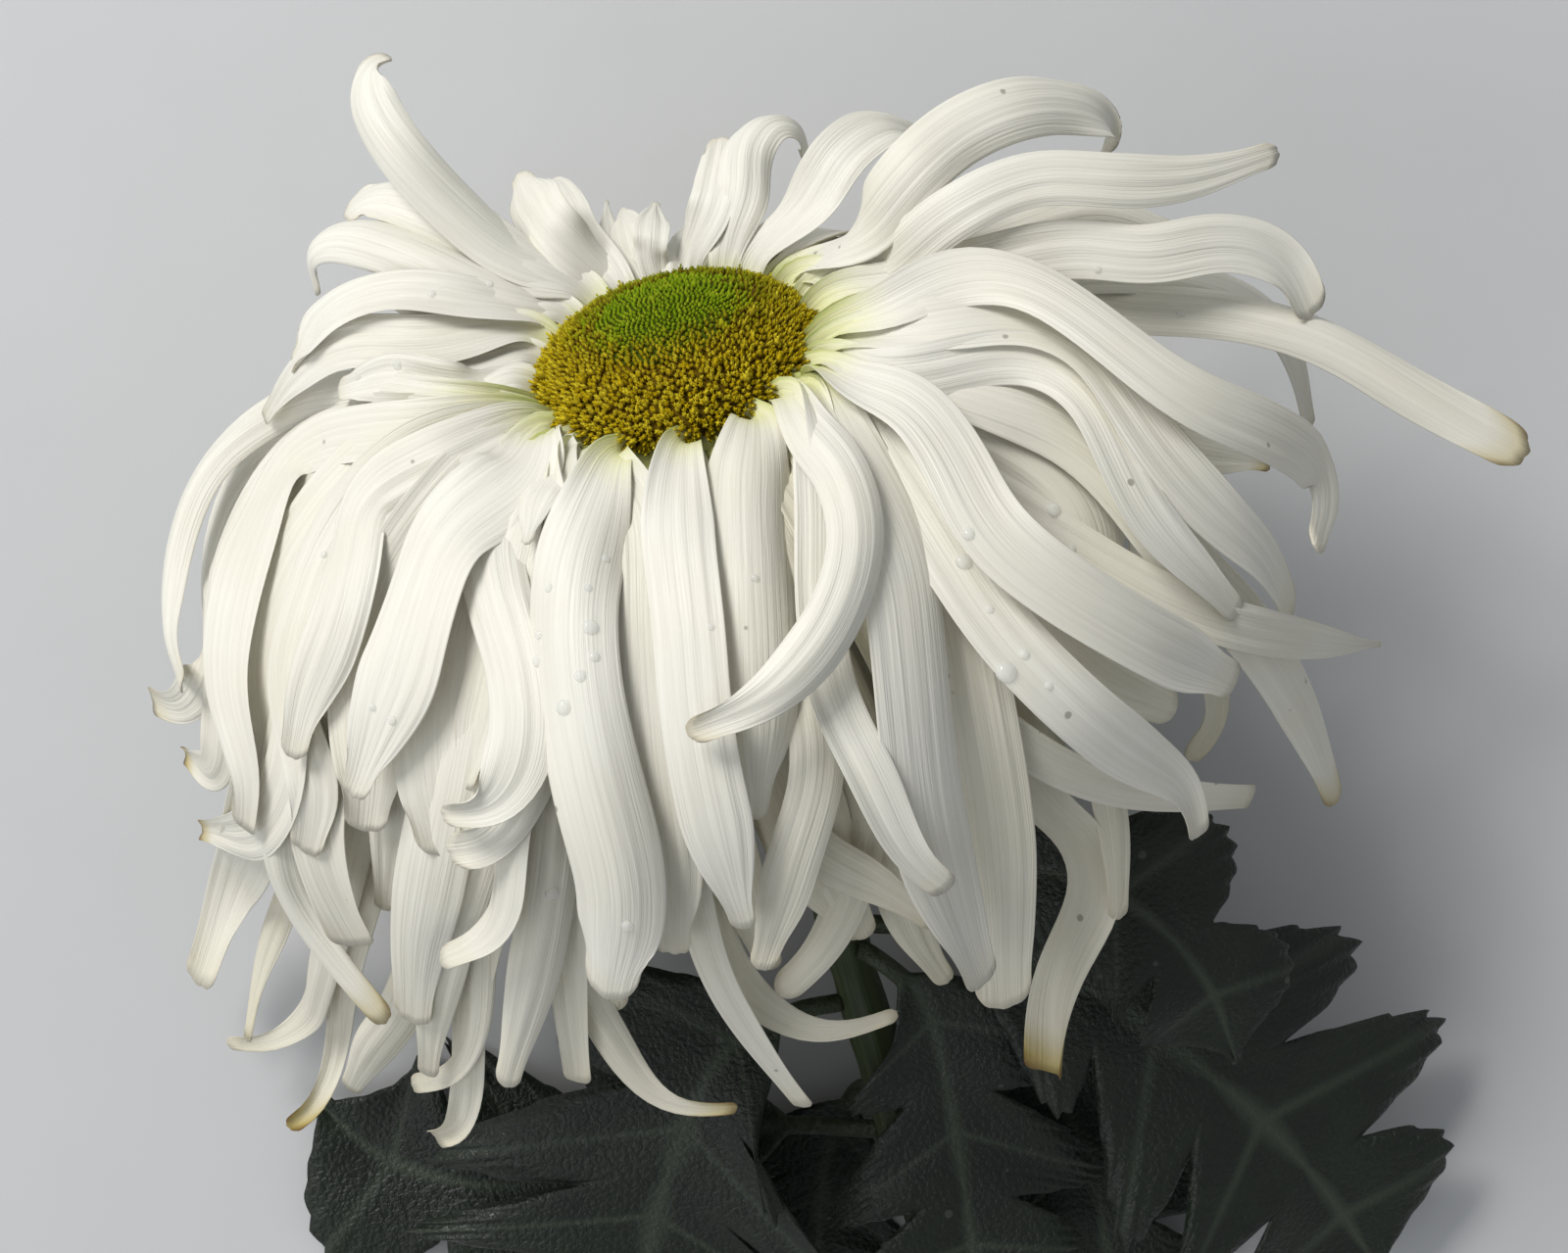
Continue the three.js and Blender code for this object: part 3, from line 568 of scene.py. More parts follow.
# Each path is the columns and rows of the pixels that a ray's middle line passes.
# fmt: off
# The rays in front of the disc, from the left round to the right
FRONT_RAYS = (
    Ray((618, 443, 574, 470, 548, 510, 537, 556), 5.6, (-3, 0, 0), blunt=0.7, spoon=0.1),
    Ray((610, 432, 545, 480, 500, 530, 505, 600, 530, 690, 532, 765, 500, 828, 449, 829), 7.5, (-3, 0, 4),
        roll=-20, spoon=0.6),
    Ray((660, 445, 612, 500, 584, 591, 585, 690, 605, 800, 632, 910, 620, 1018), 10.2, (0, 2, 3)),
    Ray((655, 445, 650, 520, 655, 640, 665, 780, 680, 880, 687, 975), 8, (-3, -3, -4)),
    Ray((700, 430, 690, 528, 702, 640, 712, 751, 735, 860, 761, 948), 8.2, (1, 1, 0)),
    Ray((745, 425, 765, 500, 768, 600, 771, 700, 772, 836), 10, (-2, -2, -4)),
    Ray((772, 415, 820, 432, 859, 480, 876, 543, 862, 612, 827, 671, 779, 716, 700, 748), 6.5, (3, 5, 5),
        tip=0.35, spoon=0.7),
    Ray((790, 405, 835, 500, 836, 620, 850, 710, 890, 790, 930, 875, 970, 908), 5.4, (-4, 0, 4)),
    Ray((795, 402, 870, 470, 918, 570, 932, 684, 950, 840, 1003, 1008), 10.4, (-1, -1, -1)),
    Ray((800, 398, 900, 460, 960, 560, 990, 700, 1015, 850, 1024, 1030), 9.5, (-8, -8, -9)),
    Ray((800, 394, 865, 387, 930, 408, 975, 470, 1010, 540, 1080, 598, 1170, 652, 1262, 698), 8, (2, 4, 4)),
    Ray((808, 390, 930, 410, 1030, 450, 1100, 510, 1128, 612), 10, (-7, -8, -9)),
    Ray((812, 392, 930, 500, 1017, 637, 1093, 717, 1165, 775, 1215, 808, 1222, 856), 7.6, (-4, 2, 3),
        spoon=0.6),
    Ray((700, 430, 750, 600, 820, 690, 836, 792, 817, 856, 776, 990), 6.2, (-7, -4, -2)),
)
# The rays on the left, which bow outwards and hang
LEFT_RAYS = (
    Ray((545, 440, 450, 405, 341, 399, 261, 428, 210, 472, 176, 560, 170, 630, 186, 700), 5.4, (4, 4, 5)),
    Ray((556, 440, 420, 425, 299, 441, 236, 485, 212, 570, 214, 680, 190, 725, 154, 712), 7, (0, -5, -2),
        tip=0.4, spoon=0.6),
    Ray((565, 441, 421, 436, 300, 463, 266, 533, 240, 610, 230, 700, 255, 790, 250, 848), 7.5, (1, 1, -2)),
    Ray((575, 441, 430, 452, 350, 530, 306, 635, 293, 710, 322, 800, 312, 872), 6.8, (-2, -2, -5)),
    Ray((585, 441, 455, 460, 375, 505, 360, 571, 338, 650, 310, 720, 299, 775), 7.2, (1, 2, 0)),
    Ray((600, 443, 535, 480, 459, 540, 430, 610, 405, 690, 385, 745, 360, 815), 10.5, (0, 1, 0)),
    Ray((610, 443, 520, 540, 480, 680, 455, 800, 433, 913, 424, 967, 421, 1044), 9, (-5, -5, -6)),
    Ray((575, 440, 470, 520, 420, 640, 405, 760, 398, 850, 392, 929), 7, (-6, -8, -12)),
    Ray((560, 440, 400, 480, 320, 620, 285, 750, 255, 865, 236, 913, 204, 1009), 9, (-7, -10, -12),
        blunt=1.5),
    Ray((570, 440, 380, 500, 300, 700, 280, 865, 299, 926, 340, 980, 395, 1044), 5.5, (-4, -5, -3),
        tip=0.6),
    Ray((620, 443, 560, 560, 540, 700, 516, 856, 516, 903, 500, 955, 449, 980), 6.8, (-5, -4, -1), roll=20,
        spoon=0.6),
)
# The lowest rays, whose tips hang past the others
LOW_RAYS = (
    Ray((560, 440, 400, 430, 275, 480, 228, 560, 216, 650, 226, 745), 7, (-4, -6, -8)),
    Ray((565, 440, 400, 450, 310, 540, 268, 640, 264, 720, 276, 805), 9, (-3, -4, -6)),
    Ray((580, 440, 430, 480, 365, 580, 330, 680, 332, 760, 342, 835), 7, (-5, -6, -8)),
    Ray((590, 443, 470, 500, 400, 600, 372, 700, 378, 790, 372, 850), 9, (-3, -4, -6)),
    Ray((600, 443, 510, 520, 455, 620, 440, 720, 440, 800, 452, 875), 8.5, (-3, -4, -5)),
    Ray((625, 443, 560, 520, 520, 620, 496, 720, 474, 805), 7, (-4, -4, -5)),
    Ray((575, 440, 420, 560, 350, 700, 320, 820, 335, 900, 370, 968), 9, (-6, -6, -6)),
    Ray((640, 443, 560, 640, 500, 850, 484, 960, 484, 1050, 462, 1100, 420, 1106), 5, (-11, -12, -11),
        spoon=0.7),
    Ray((630, 445, 575, 560, 560, 700, 535, 800, 500, 862, 455, 868), 6.5, (-4, -3, 0), spoon=0.7),
    Ray((575, 440, 400, 450, 290, 520, 240, 620, 225, 720, 222, 785, 188, 768), 5.5, (-4, -5, -7), tip=1.0,
        spoon=0.8),
    Ray((575, 440, 430, 470, 340, 580, 300, 700, 296, 790, 268, 845, 205, 846), 7, (-3, -3, -4), tip=0.9,
        spoon=0.7),
    Ray((805, 410, 930, 520, 1060, 640, 1130, 690, 1200, 722), 9, (-7, -9, -9)),
    Ray((825, 390, 1000, 420, 1120, 440, 1220, 455, 1296, 473), 7.5, (-9, -12, -12), tip=0.9),
    Ray((815, 400, 1000, 500, 1150, 600, 1240, 690, 1242, 740, 1212, 775), 5.5, (-15, -18, -20)),
    Ray((590, 443, 420, 640, 370, 820, 325, 1002, 305, 1050, 260, 1080, 231, 1063), 5, (-10, -12, -9),
        spoon=0.6),
    Ray((585, 443, 390, 600, 330, 800, 282, 940, 261, 1002, 252, 1063), 5.6, (-19, -19, -17)),
    Ray((600, 443, 440, 640, 390, 850, 350, 1000, 344, 1079, 325, 1145, 293, 1151), 4.8, (-14, -16, -14),
        tip=1.0, spoon=0.7),
    Ray((605, 443, 500, 650, 460, 850, 411, 1030, 382, 1066, 357, 1111), 6, (-10, -11, -12)),
    Ray((615, 443, 540, 640, 490, 850, 446, 999, 440, 1047, 437, 1098), 6.5, (-7, -8, -8)),
    Ray((620, 443, 560, 680, 510, 900, 478, 1040, 478, 1111, 462, 1165, 441, 1160), 4.4, (-12, -12, -12),
        spoon=0.7),
    Ray((640, 443, 590, 640, 570, 800, 564, 872, 548, 977, 516, 1108), 6.4, (-8, -6, -5)),
    Ray((645, 443, 600, 700, 580, 880, 580, 1002, 592, 1106), 5.6, (-10, -11, -11)),
    Ray((650, 443, 610, 700, 570, 880, 590, 1000, 626, 1069, 680, 1132, 752, 1130), 4.6, (-14, -15, -9),
        tip=0.8, spoon=0.7),
    Ray((690, 443, 680, 700, 700, 880, 731, 999, 763, 1053, 824, 1130), 4.8, (-10, -8, -8)),
    Ray((700, 443, 700, 700, 720, 900, 744, 990, 782, 1031, 840, 1058, 916, 1034), 4.8, (-14, -14, -11)),
    Ray((780, 443, 850, 620, 885, 780, 878, 870, 845, 965, 795, 1015), 5.6, (-12, -12, -12)),
    Ray((740, 443, 760, 640, 780, 780, 833, 872, 891, 900, 955, 945), 5.8, (-12, -9, -7)),
    Ray((790, 440, 880, 620, 910, 800, 932, 950, 967, 1003), 7, (-20, -19, -18)),
    Ray((800, 440, 900, 600, 990, 720, 1110, 798, 1200, 812, 1280, 811), 5, (-10, -9, -8)),
    Ray((810, 430, 960, 600, 1055, 814, 1105, 850, 1124, 915, 1080, 990, 1072, 1100), 7, (-17, -16, -14),
        twist=45, tip=1.0, spoon=1.0),
    Ray((812, 420, 980, 560, 1090, 690, 1138, 838, 1141, 938), 5, (-13, -13, -12)),
)
# The rays on the right, long arches that reach furthest
RIGHT_RAYS = (
    Ray((815, 395, 960, 470, 1100, 560, 1181, 609, 1253, 637, 1342, 655, 1408, 657), 5.6, (-11, -3, 10),
        blunt=0.35, spoon=0.1),
    Ray((820, 392, 980, 400, 1080, 430, 1146, 487, 1199, 559, 1262, 620, 1330, 720, 1364, 816), 8, (-4, -3,
        -3), tip=0.6, blunt=1.6, spoon=0.1),
    Ray((824, 388, 905, 384, 1051, 362, 1109, 401, 1138, 459, 1172, 527, 1225, 585, 1264, 629), 6.4, (1, 2,
        1)),
    Ray((828, 382, 941, 333, 1037, 322, 1105, 352, 1148, 406, 1185, 460, 1245, 527, 1293, 571, 1317, 634),
        7.6, (4, 3, 1)),
    Ray((832, 372, 903, 318, 964, 280, 1040, 282, 1110, 325, 1209, 402, 1306, 444, 1355, 490, 1342, 559),
        7.4, (10, 10, 10), blunt=1.5, spoon=0.1),
    Ray((835, 355, 960, 310, 1060, 300, 1156, 314, 1247, 318, 1350, 345, 1460, 410, 1560, 465), 6.4,
        level=(63, 62, 60), tip=0.6, blunt=1.4),
    Ray((835, 340, 930, 290, 1018, 268, 1094, 252, 1171, 262, 1247, 246, 1310, 265, 1339, 325), 7,
        level=(70, 70, 62), spoon=0.6),
    Ray((834, 335, 1000, 290, 1150, 280, 1260, 300, 1310, 340, 1335, 440), 5, level=(68, 58, 44)),
    Ray((832, 322, 922, 278, 1037, 239, 1114, 215, 1202, 241), 6, level=(66, 62, 54)),
    Ray((826, 305, 880, 290, 964, 222, 1056, 180, 1133, 184, 1215, 182, 1305, 155), 6.5, level=(74, 72, 64),
        blunt=1.4, spoon=0.1),
    Ray((818, 295, 868, 250, 922, 182, 980, 130, 1037, 106, 1094, 105, 1140, 125, 1125, 163), 8, level=(72,
        68, 52), spoon=0.7),
)
# The rays behind the disc, which rise past it
BACK_RAYS = (
    Ray((790, 279, 821, 214, 859, 155, 905, 128, 950, 146), 7, level=(57, 58, 48)),
    Ray((765, 272, 758, 200, 762, 150, 785, 124, 812, 130, 824, 165), 6.4, level=(54, 50, 42), spoon=0.1,
        blunt=1.2),
    Ray((712, 270, 727, 207, 738, 140), 5.8, level=(53, 54, 48), blunt=1.7, spoon=0),
    Ray((693, 270, 697, 248, 703, 224), 3.4, level=(47, 44, 38), blunt=0.3, spoon=0),
    Ray((668, 272, 664, 240, 669, 207), 5, level=(54, 51, 45), blunt=0.4, spoon=0, roll=14),
    Ray((648, 275, 641, 240, 634, 214), 4.4, level=(50, 46, 40), blunt=0.9, spoon=0, roll=-14),
    Ray((634, 283, 622, 245, 619, 206), 3.6, level=(47, 42, 34), blunt=0.3, spoon=0),
    Ray((618, 286, 594, 236, 579, 200, 568, 184, 557, 190), 4.4, level=(47, 42, 36), blunt=0.8, spoon=0),
    Ray((608, 295, 563, 236, 529, 178), 7.6, level=(54, 53, 47), blunt=1.2, spoon=0),
    Ray((603, 318, 522, 260, 465, 214, 407, 153, 376, 100, 376, 62, 399, 58), 6.6, level=(56, 59, 54),
        spoon=0.7),
    Ray((592, 318, 540, 272, 446, 212, 377, 200, 352, 220), 7.4, level=(55.5, 54, 45)),
    Ray((580, 335, 500, 292, 420, 255, 350, 237, 316, 255, 325, 300), 8, level=(57, 54, 43)),
    Ray((568, 352, 480, 305, 400, 297, 335, 322, 298, 378), 7, level=(60, 59, 49)),
    Ray((558, 372, 440, 348, 350, 350, 300, 385, 270, 430), 6.6, level=(62, 57, 42)),
    Ray((552, 405, 470, 396, 400, 385, 344, 400), 6, level=(67, 65, 58)),
    Ray((596, 322, 545, 296, 486, 276, 430, 258), 6, level=(52, 51, 46)),
    Ray((574, 346, 515, 318, 450, 300, 384, 300), 6, level=(55, 54, 48)),
    Ray((560, 368, 500, 348, 436, 338, 372, 348), 6, level=(58, 56, 48)),
    Ray((551, 388, 486, 378, 420, 372, 356, 384), 6, level=(61, 59, 50)),
    Ray((547, 420, 480, 410, 410, 404, 350, 416), 5.6, level=(65, 62, 53)),
)
# fmt: on


@dataclass(frozen=True)
class Strap:
    """The form of one ray floret's blade. Shares are of its length."""

    width: float
    ridges: float
    ridge_height: float
    cup: float
    spoon: float
    wave: float
    waves: float
    phase: float
    taper: float
    tip_width: float
    notch: float

    @staticmethod
    def drawn(n: float, width: float, spoon: float, blunt: float = 1.0) -> "Strap":
        """A strap with its own seeded share of ridges, waves and tip.

        Args:
            n: the ray's number.
            width: its full width.
            spoon: how far its tip's edges rise.
            blunt: how wide its tip stays, 1 for the usual share.

        Returns:
            The strap.
        """
        return Strap(
            width=width,
            ridges=round(width / (2.35 * MM)),
            ridge_height=lerp(0.32, 0.52, draw(n + 0.15)) * MM,
            cup=lerp(-0.6, 0.18, draw(n + 0.25)),
            spoon=spoon * lerp(0.8, 1.6, draw(n + 0.35)),
            wave=lerp(0.05, 0.22, draw(n + 0.45)),
            waves=lerp(0.8, 2.0, draw(n + 0.55)),
            phase=2 * math.pi * draw(n + 0.65),
            taper=lerp(0.66, 0.84, draw(n + 0.75)) * lerp(0.6, 1, min(1, blunt)),
            tip_width=blunt * lerp(0.32, 0.72, draw(n + 0.85)),
            notch=lerp(0.0, 0.12, draw(n + 0.95)),
        )


@dataclass
class RayFlorets:
    """The white rays: those that the photograph shows, and the whorls under and behind them."""

    head: Head
    view: PhotoView
    rows: int = 56
    columns: int = 17
    hidden_rows: int = 46
    hidden_columns: int = 15
    thickness: float = 0.38 * MM
    claw_width: float = 3.2 * MM
    root_radius: float = 15.8 * MM
    root_rise: float = -3.3 * MM
    leaving_rise: float = 1.2 * MM
    hidden_leaving: float = -1.0 * MM
    tier_share: float = 0.16
    most_tier: float = 1.2 * MM
    skyward: float = 1.1
    width_share: float = 1.06
    least_swell: float = 15 * MM
    tightest: float = 0.8
    soft_rounds: int = 10
    shown_lowest: float = 14 * MM
    inner_rays: int = 42
    under_rays: int = 24
    hidden_reach: float = 56 * MM
    stem_clearance: float = 8.5 * MM
    lowest: float = 0.15 * MM
    level_tiers: float = 9 * MM
    settle_pixels: float = 130.0
    hidden_sway: float = 26.0
    under_start: float = 112.0
    under_turn: float = 136.0

    def root_of(self, bearing: float, lift: float, leaving: float) -> Array:
        """A ray's first two points: its root in the receptacle and where it leaves it.

        Args:
            bearing: the ray's bearing in degrees.
            lift: how high it lies on the mound, which sets its tier on the receptacle.
            leaving: its rise where it leaves the disc's edge.

        Returns:
            The two points.
        """
        tier = float(np.clip(self.tier_share * lift, -self.most_tier, self.most_tier))
        radii = np.array([self.root_radius, self.head.disc_radius + 2 * MM])
        return self.head.at(radii, bearing, np.array([self.root_rise + tier, leaving + tier]))

    def shown_line(self, ray: Ray, n: int) -> Array:
        """The points that a shown ray's middle line passes.

        Each pixel's place along the path gives its height above the mound, and five rounds of
        looking up the mound's height there settle where the view line meets it.

        Args:
            ray: the ray.
            n: its number, which spreads level rays over the receptacle's tiers.

        Returns:
            Points, one a row.
        """
        path = np.reshape(ray.path, (-1, 2)).astype(float)
        bearing = self.view.bearing_of(path[0], self.root_rise)
        run = np.cumsum(np.linalg.norm(np.diff(path, axis=0), axis=1))
        third = np.clip(run / run[-1] * 3, 0, 3)
        edge = self.head.at(self.head.disc_radius + 2 * MM, bearing, 0.0)[2]
        if ray.level is not None:
            height = np.interp(third, range(4), [edge, *(MM * h for h in ray.level)])
            root = self.root_of(bearing, self.level_tiers * (n % 3 - 1), self.leaving_rise)
            return np.vstack([root, self.view.seen_at(path[1:], height)])
        value = np.interp(third, range(4), [0.0, *(MM * h for h in ray.lift)])
        settle = smoothstep(run, 0, self.settle_pixels)
        height = np.full(len(run), self.head.disc_height + 20 * MM)
        for _ in range(5):
            place = self.view.seen_at(path[1:], height)
            mound = self.head.drape_height(place[:, 0] - self.head.x, place[:, 1] - self.head.y)
            height = np.maximum(self.shown_lowest, lerp(edge + 3 * MM, mound, settle) + value)
        root = self.root_of(bearing, MM * ray.lift[0], self.leaving_rise)
        return np.vstack([root, self.view.seen_at(path[1:], height)])

    def hidden_line(self, n: int, bearing: float, size: float, floor: float) -> Array:
        """The points of a ray that drapes over a smaller mound about the bloom's own axis.

        Args:
            n: the ray's number, which draws its length and sway.
            bearing: its bearing in degrees.
            size: its share of the whorl's full reach.
            floor: how high it lies where it reaches the table.

        Returns:
            Points, one a row.
        """
        profile = np.array(
            [(0.48, -0.06), (0.66, -0.12), (0.9, -0.36), (1, -0.64), (0.98, -0.98), (0.94, -1.22)]
        )
        share = np.arange(len(profile)) / len(profile)
        sway = self.hidden_sway * (draw(n + 0.3) - 0.5) * share**2
        length = self.hidden_reach * size * lerp(0.88, 1.06, draw(n + 0.7))
        points = self.head.at(length * profile[:, 0], bearing + sway, length * profile[:, 1])
        offset = points[:, None] - Stem(self.head).line(61)[None]
        distance = np.linalg.norm(offset, axis=2)
        nearest = distance.argmin(axis=1)
        rows = np.arange(len(points))
        short = np.maximum(0, self.stem_clearance - distance[rows, nearest])
        points += unit(offset[rows, nearest]) * short[:, None]
        above = points[:, 2] - floor
        points[:, 2] = floor + (above + np.sqrt(above**2 + (3 * MM) ** 2)) / 2
        root = self.root_of(bearing, (3 * (n % 2) - 9) * MM, self.hidden_leaving)
        return np.vstack([root, points])

    def faces_out(self, line: Array, roll: float, twist: float, skyward: float) -> Array:
        """The way that a ray's face looks at each point of its middle line.

        It looks away from the stem, a little to the sky, and up where the ray lies on the table.

        Args:
            line: the middle line.
            roll: turn about the line over its whole length, in degrees.
            twist: further turn by the tip, in degrees.
            skyward: how much it leans to the sky.

        Returns:
            Unit vectors across the line.
        """
        along = tangents(line)
        rise = (line - self.head.centre) @ self.head.axis
        core = self.head.centre + np.minimum(-20 * MM, 0.8 * rise)[:, None] * self.head.axis
        lying = 1 - smoothstep(line[:, 2], 3 * MM, 16 * MM)
        out = squared(unit(line - core) + UP * (skyward - 1.6 * lying)[:, None], along)
        return turned(out, along, np.radians(roll + twist * np.linspace(0, 1, len(line))))

    def blade(
        self, points: Array, strap: Strap, n: float, out_turn: Vec3, age: float, tip: float
    ) -> Surface:
        """A ray's closed strap.

        Across the blade at s from -1 to 1 its height is cup (s^2 - 1/3) for the channel, ridges as
        the root of a raised cosine, and an edge wave s |s| sin(v) along the length v. The last rows
        are drawn back by s^2 and by small notches, which rounds and cuts the tip.

        Args:
            points: what its middle line passes.
            strap: its form.
            n: its number.
            out_turn: roll, twist and skyward lean of its face.
            age: painted cream shade, 0 for an open outer ray and 1 for a deep, sheltered one.
            tip: how far its tip has browned.

        Returns:
            The surface.
        """
        line = softened(smooth_line(points, self.rows), self.soft_rounds)
        along = tangents(line)
        out = self.faces_out(line, *out_turn)
        across = np.cross(along, out)
        v = np.linspace(0, 1, self.rows)[:, None]
        s = np.sin(np.linspace(-0.5, 0.5, self.columns) * math.pi * 0.9)[None, :]
        s = s / s.max()
        run = lengths(line)
        swell_share = max(0.3, min(0.9, self.least_swell / run[-1]))
        swell = lerp(self.claw_width / strap.width, 1, smoothstep(v, 0.0, swell_share))
        half = 0.5 * strap.width * swell * (1 - (1 - strap.tip_width) * smoothstep(v, strap.taper, 1))
        half = self.eased(half, along, across, run)
        fold = 1 - smoothstep(v, 0.04, 0.3)
        cup = lerp(strap.cup, 0.7, fold) + strap.spoon * smoothstep(v, 0.78, 1)
        ridged = smoothstep(v, 0.02, 0.16) * (1 - 0.8 * smoothstep(v, 0.82, 1))
        drift = 0.5 * np.sin(strap.phase + 2.4 * v)
        ridge = np.sqrt(0.5 + 0.5 * np.cos(math.pi * strap.ridges * s + drift))
        strength = 0.72 + 0.28 * np.sin(2.3 * s + strap.phase + 3.5 * v)
        height = (
            cup * half * (s**2 - 1 / 3)
            + strap.ridge_height * ridged * strength * (ridge - 0.6) * (1 - s**8)
            + strap.wave * half * s * np.abs(s) * np.sin(2 * math.pi * strap.waves * v + strap.phase)
        )
        teeth = 0.5 - 0.5 * np.cos(3 * math.pi * s + strap.phase)
        rounded = 1 - np.sqrt(np.clip(1 - s**2, 0, 1))
        reach_back = 0.6 * strap.width * strap.tip_width
        back = reach_back * smoothstep(v, 0.86, 1) * (rounded + strap.notch * teeth)
        skin = 0.5 * self.thickness * lerp(1, 0.25, s**4) * lerp(1.7, 1, smoothstep(v, 0, 0.15))
        middle = carried(line, (across, half * s), (out, height), (along, -back))
        return Surface.strap(
            middle, out, skin, v, s, self.lowest, tone=draw(n + 0.05), age=age, tip=tip
        )

    def eased(self, half: Array, along: Array, across: Array, run: Array) -> Array:
        """Half widths that stay inside a sideways bend's own radius, so that no edge folds back.

        The bend is the turn of the direction towards the blade's side over the length. The result is
        the fourth root of the sum of fourth powers, over 1: 1 / (1/half^4 + 1/limit^4)^(1/4).

        Args:
            half: half widths, one a row.
            along: the line's directions.
            across: the blade's sideways directions.
            run: lengths along the line.

        Returns:
            The eased half widths.
        """
        bend = np.abs(np.sum(np.gradient(along, run, axis=0) * across, axis=1))
        bend = np.convolve(np.pad(bend, 2, mode="edge"), np.ones(5) / 5, mode="valid")
        limit = (self.tightest / np.maximum(bend, 1.0))[:, None]
        return (half**-4 + limit**-4) ** -0.25

    def shown(self, rays: tuple[Ray, ...], first: int) -> list[Surface]:
        """The blades of a list of shown rays.

        Args:
            rays: the rays.
            first: the number of the first one.

        Returns:
            Their surfaces.
        """
        parts = []
        for n, ray in enumerate(rays, first):
            low = 0.0 if ray.level is not None else -min(0.0, ray.lift[0] + ray.lift[1]) / 2
            strap = Strap.drawn(n, self.width_share * ray.width * MM, ray.spoon, ray.blunt)
            twist = ray.twist + 30 * (draw(n + 0.6) - 0.5)
            turns = (ray.roll + 24 * (draw(n + 0.4) - 0.5), twist, self.skyward)
            # The deeper the ray lies under the others, the more painted cream shade it carries.
            age = float(np.clip(low / 22, 0, 0.8))
            parts.append(self.blade(self.shown_line(ray, n), strap, n, turns, age, ray.tip))
        return parts

    def inner(self) -> list[Surface]:
        """The receptacle's rim and the whorls under the shown rays, spread by the golden angle.

        Returns:
            Their surfaces.
        """
        parts = [self.receptacle()]
        for n in range(self.inner_rays):
            size = lerp(0.84, 1.0, draw(n + 0.9))
            line = self.hidden_line(n, n * GOLDEN_ANGLE, size, (3 + 6 * draw(n + 0.1)) * MM)
            strap = Strap.drawn(n + 300, lerp(7.5, 10, draw(n + 0.5)) * MM, 0.3)
            # Inner rays lie deep, so they carry much painted cream shade.
            age = lerp(0.55, 0.95, draw(n + 0.2))
            parts.append(self.blade(line, strap, n + 300, (0, 0, 0.3), age, 0.2))
        return parts

    def under(self) -> list[Surface]:
        """The rays behind the bloom, which lie on the table under it.

        Returns:
            Their surfaces.
        """
        parts = []
        for i in range(self.under_rays):
            n = i + 200
            bearing = self.under_start + self.under_turn * (i + 0.5) / self.under_rays
            size = lerp(0.98, 1.12, draw(n + 0.9))
            line = self.hidden_line(n, bearing, size, (0.3 + 0.9 * (n % 3)) * MM)
            strap = Strap.drawn(n, lerp(7, 9, draw(n + 0.5)) * MM, 0.2)
            # 0.5 is the painted cream shade of these low rays.
            parts.append(self.blade(line, strap, n, (0, 0, 0), 0.5, 0.15))
        return parts

    def receptacle(self) -> Surface:
        """The ring of flesh that the rays grow from: a closed profile turned about the axis."""
        profile = [
            (12, -6.2), (16.4, -6.3), (17.3, -5.6), (17.8, -4), (17.5, -2.2), (16.8, -1.5), (12, -1.5),
        ]  # fmt: skip
        return self.head.lathe(
            MM * np.array(profile), 72, share=0, across=0, underside=0, tone=0, age=0, tip=0
        )

    def build(self, material: bpy.types.Material) -> list[bpy.types.Object]:
        """Builds all the rays as a few pieces.

        Args:
            material: the petals' finish.

        Returns:
            The pieces.
        """
        blades, first = [], 0
        for rays in (FRONT_RAYS, LEFT_RAYS, LOW_RAYS, RIGHT_RAYS, BACK_RAYS):
            blades.append(self.shown(rays, first))
            first += len(rays)
        front, left, low, right, back = blades
        hidden = replace(self, rows=self.hidden_rows, columns=self.hidden_columns)
        pieces = {
            "ray_blades_front": front + low,
            "ray_blades_sides": left + right + back,
            "ray_blades_inner": hidden.inner(),
            "ray_blades_under": hidden.under(),
        }
        return [
            Surface.joined(parts).piece(name, material, Slot.PETAL, "ray_florets")
            for name, parts in pieces.items()
        ]


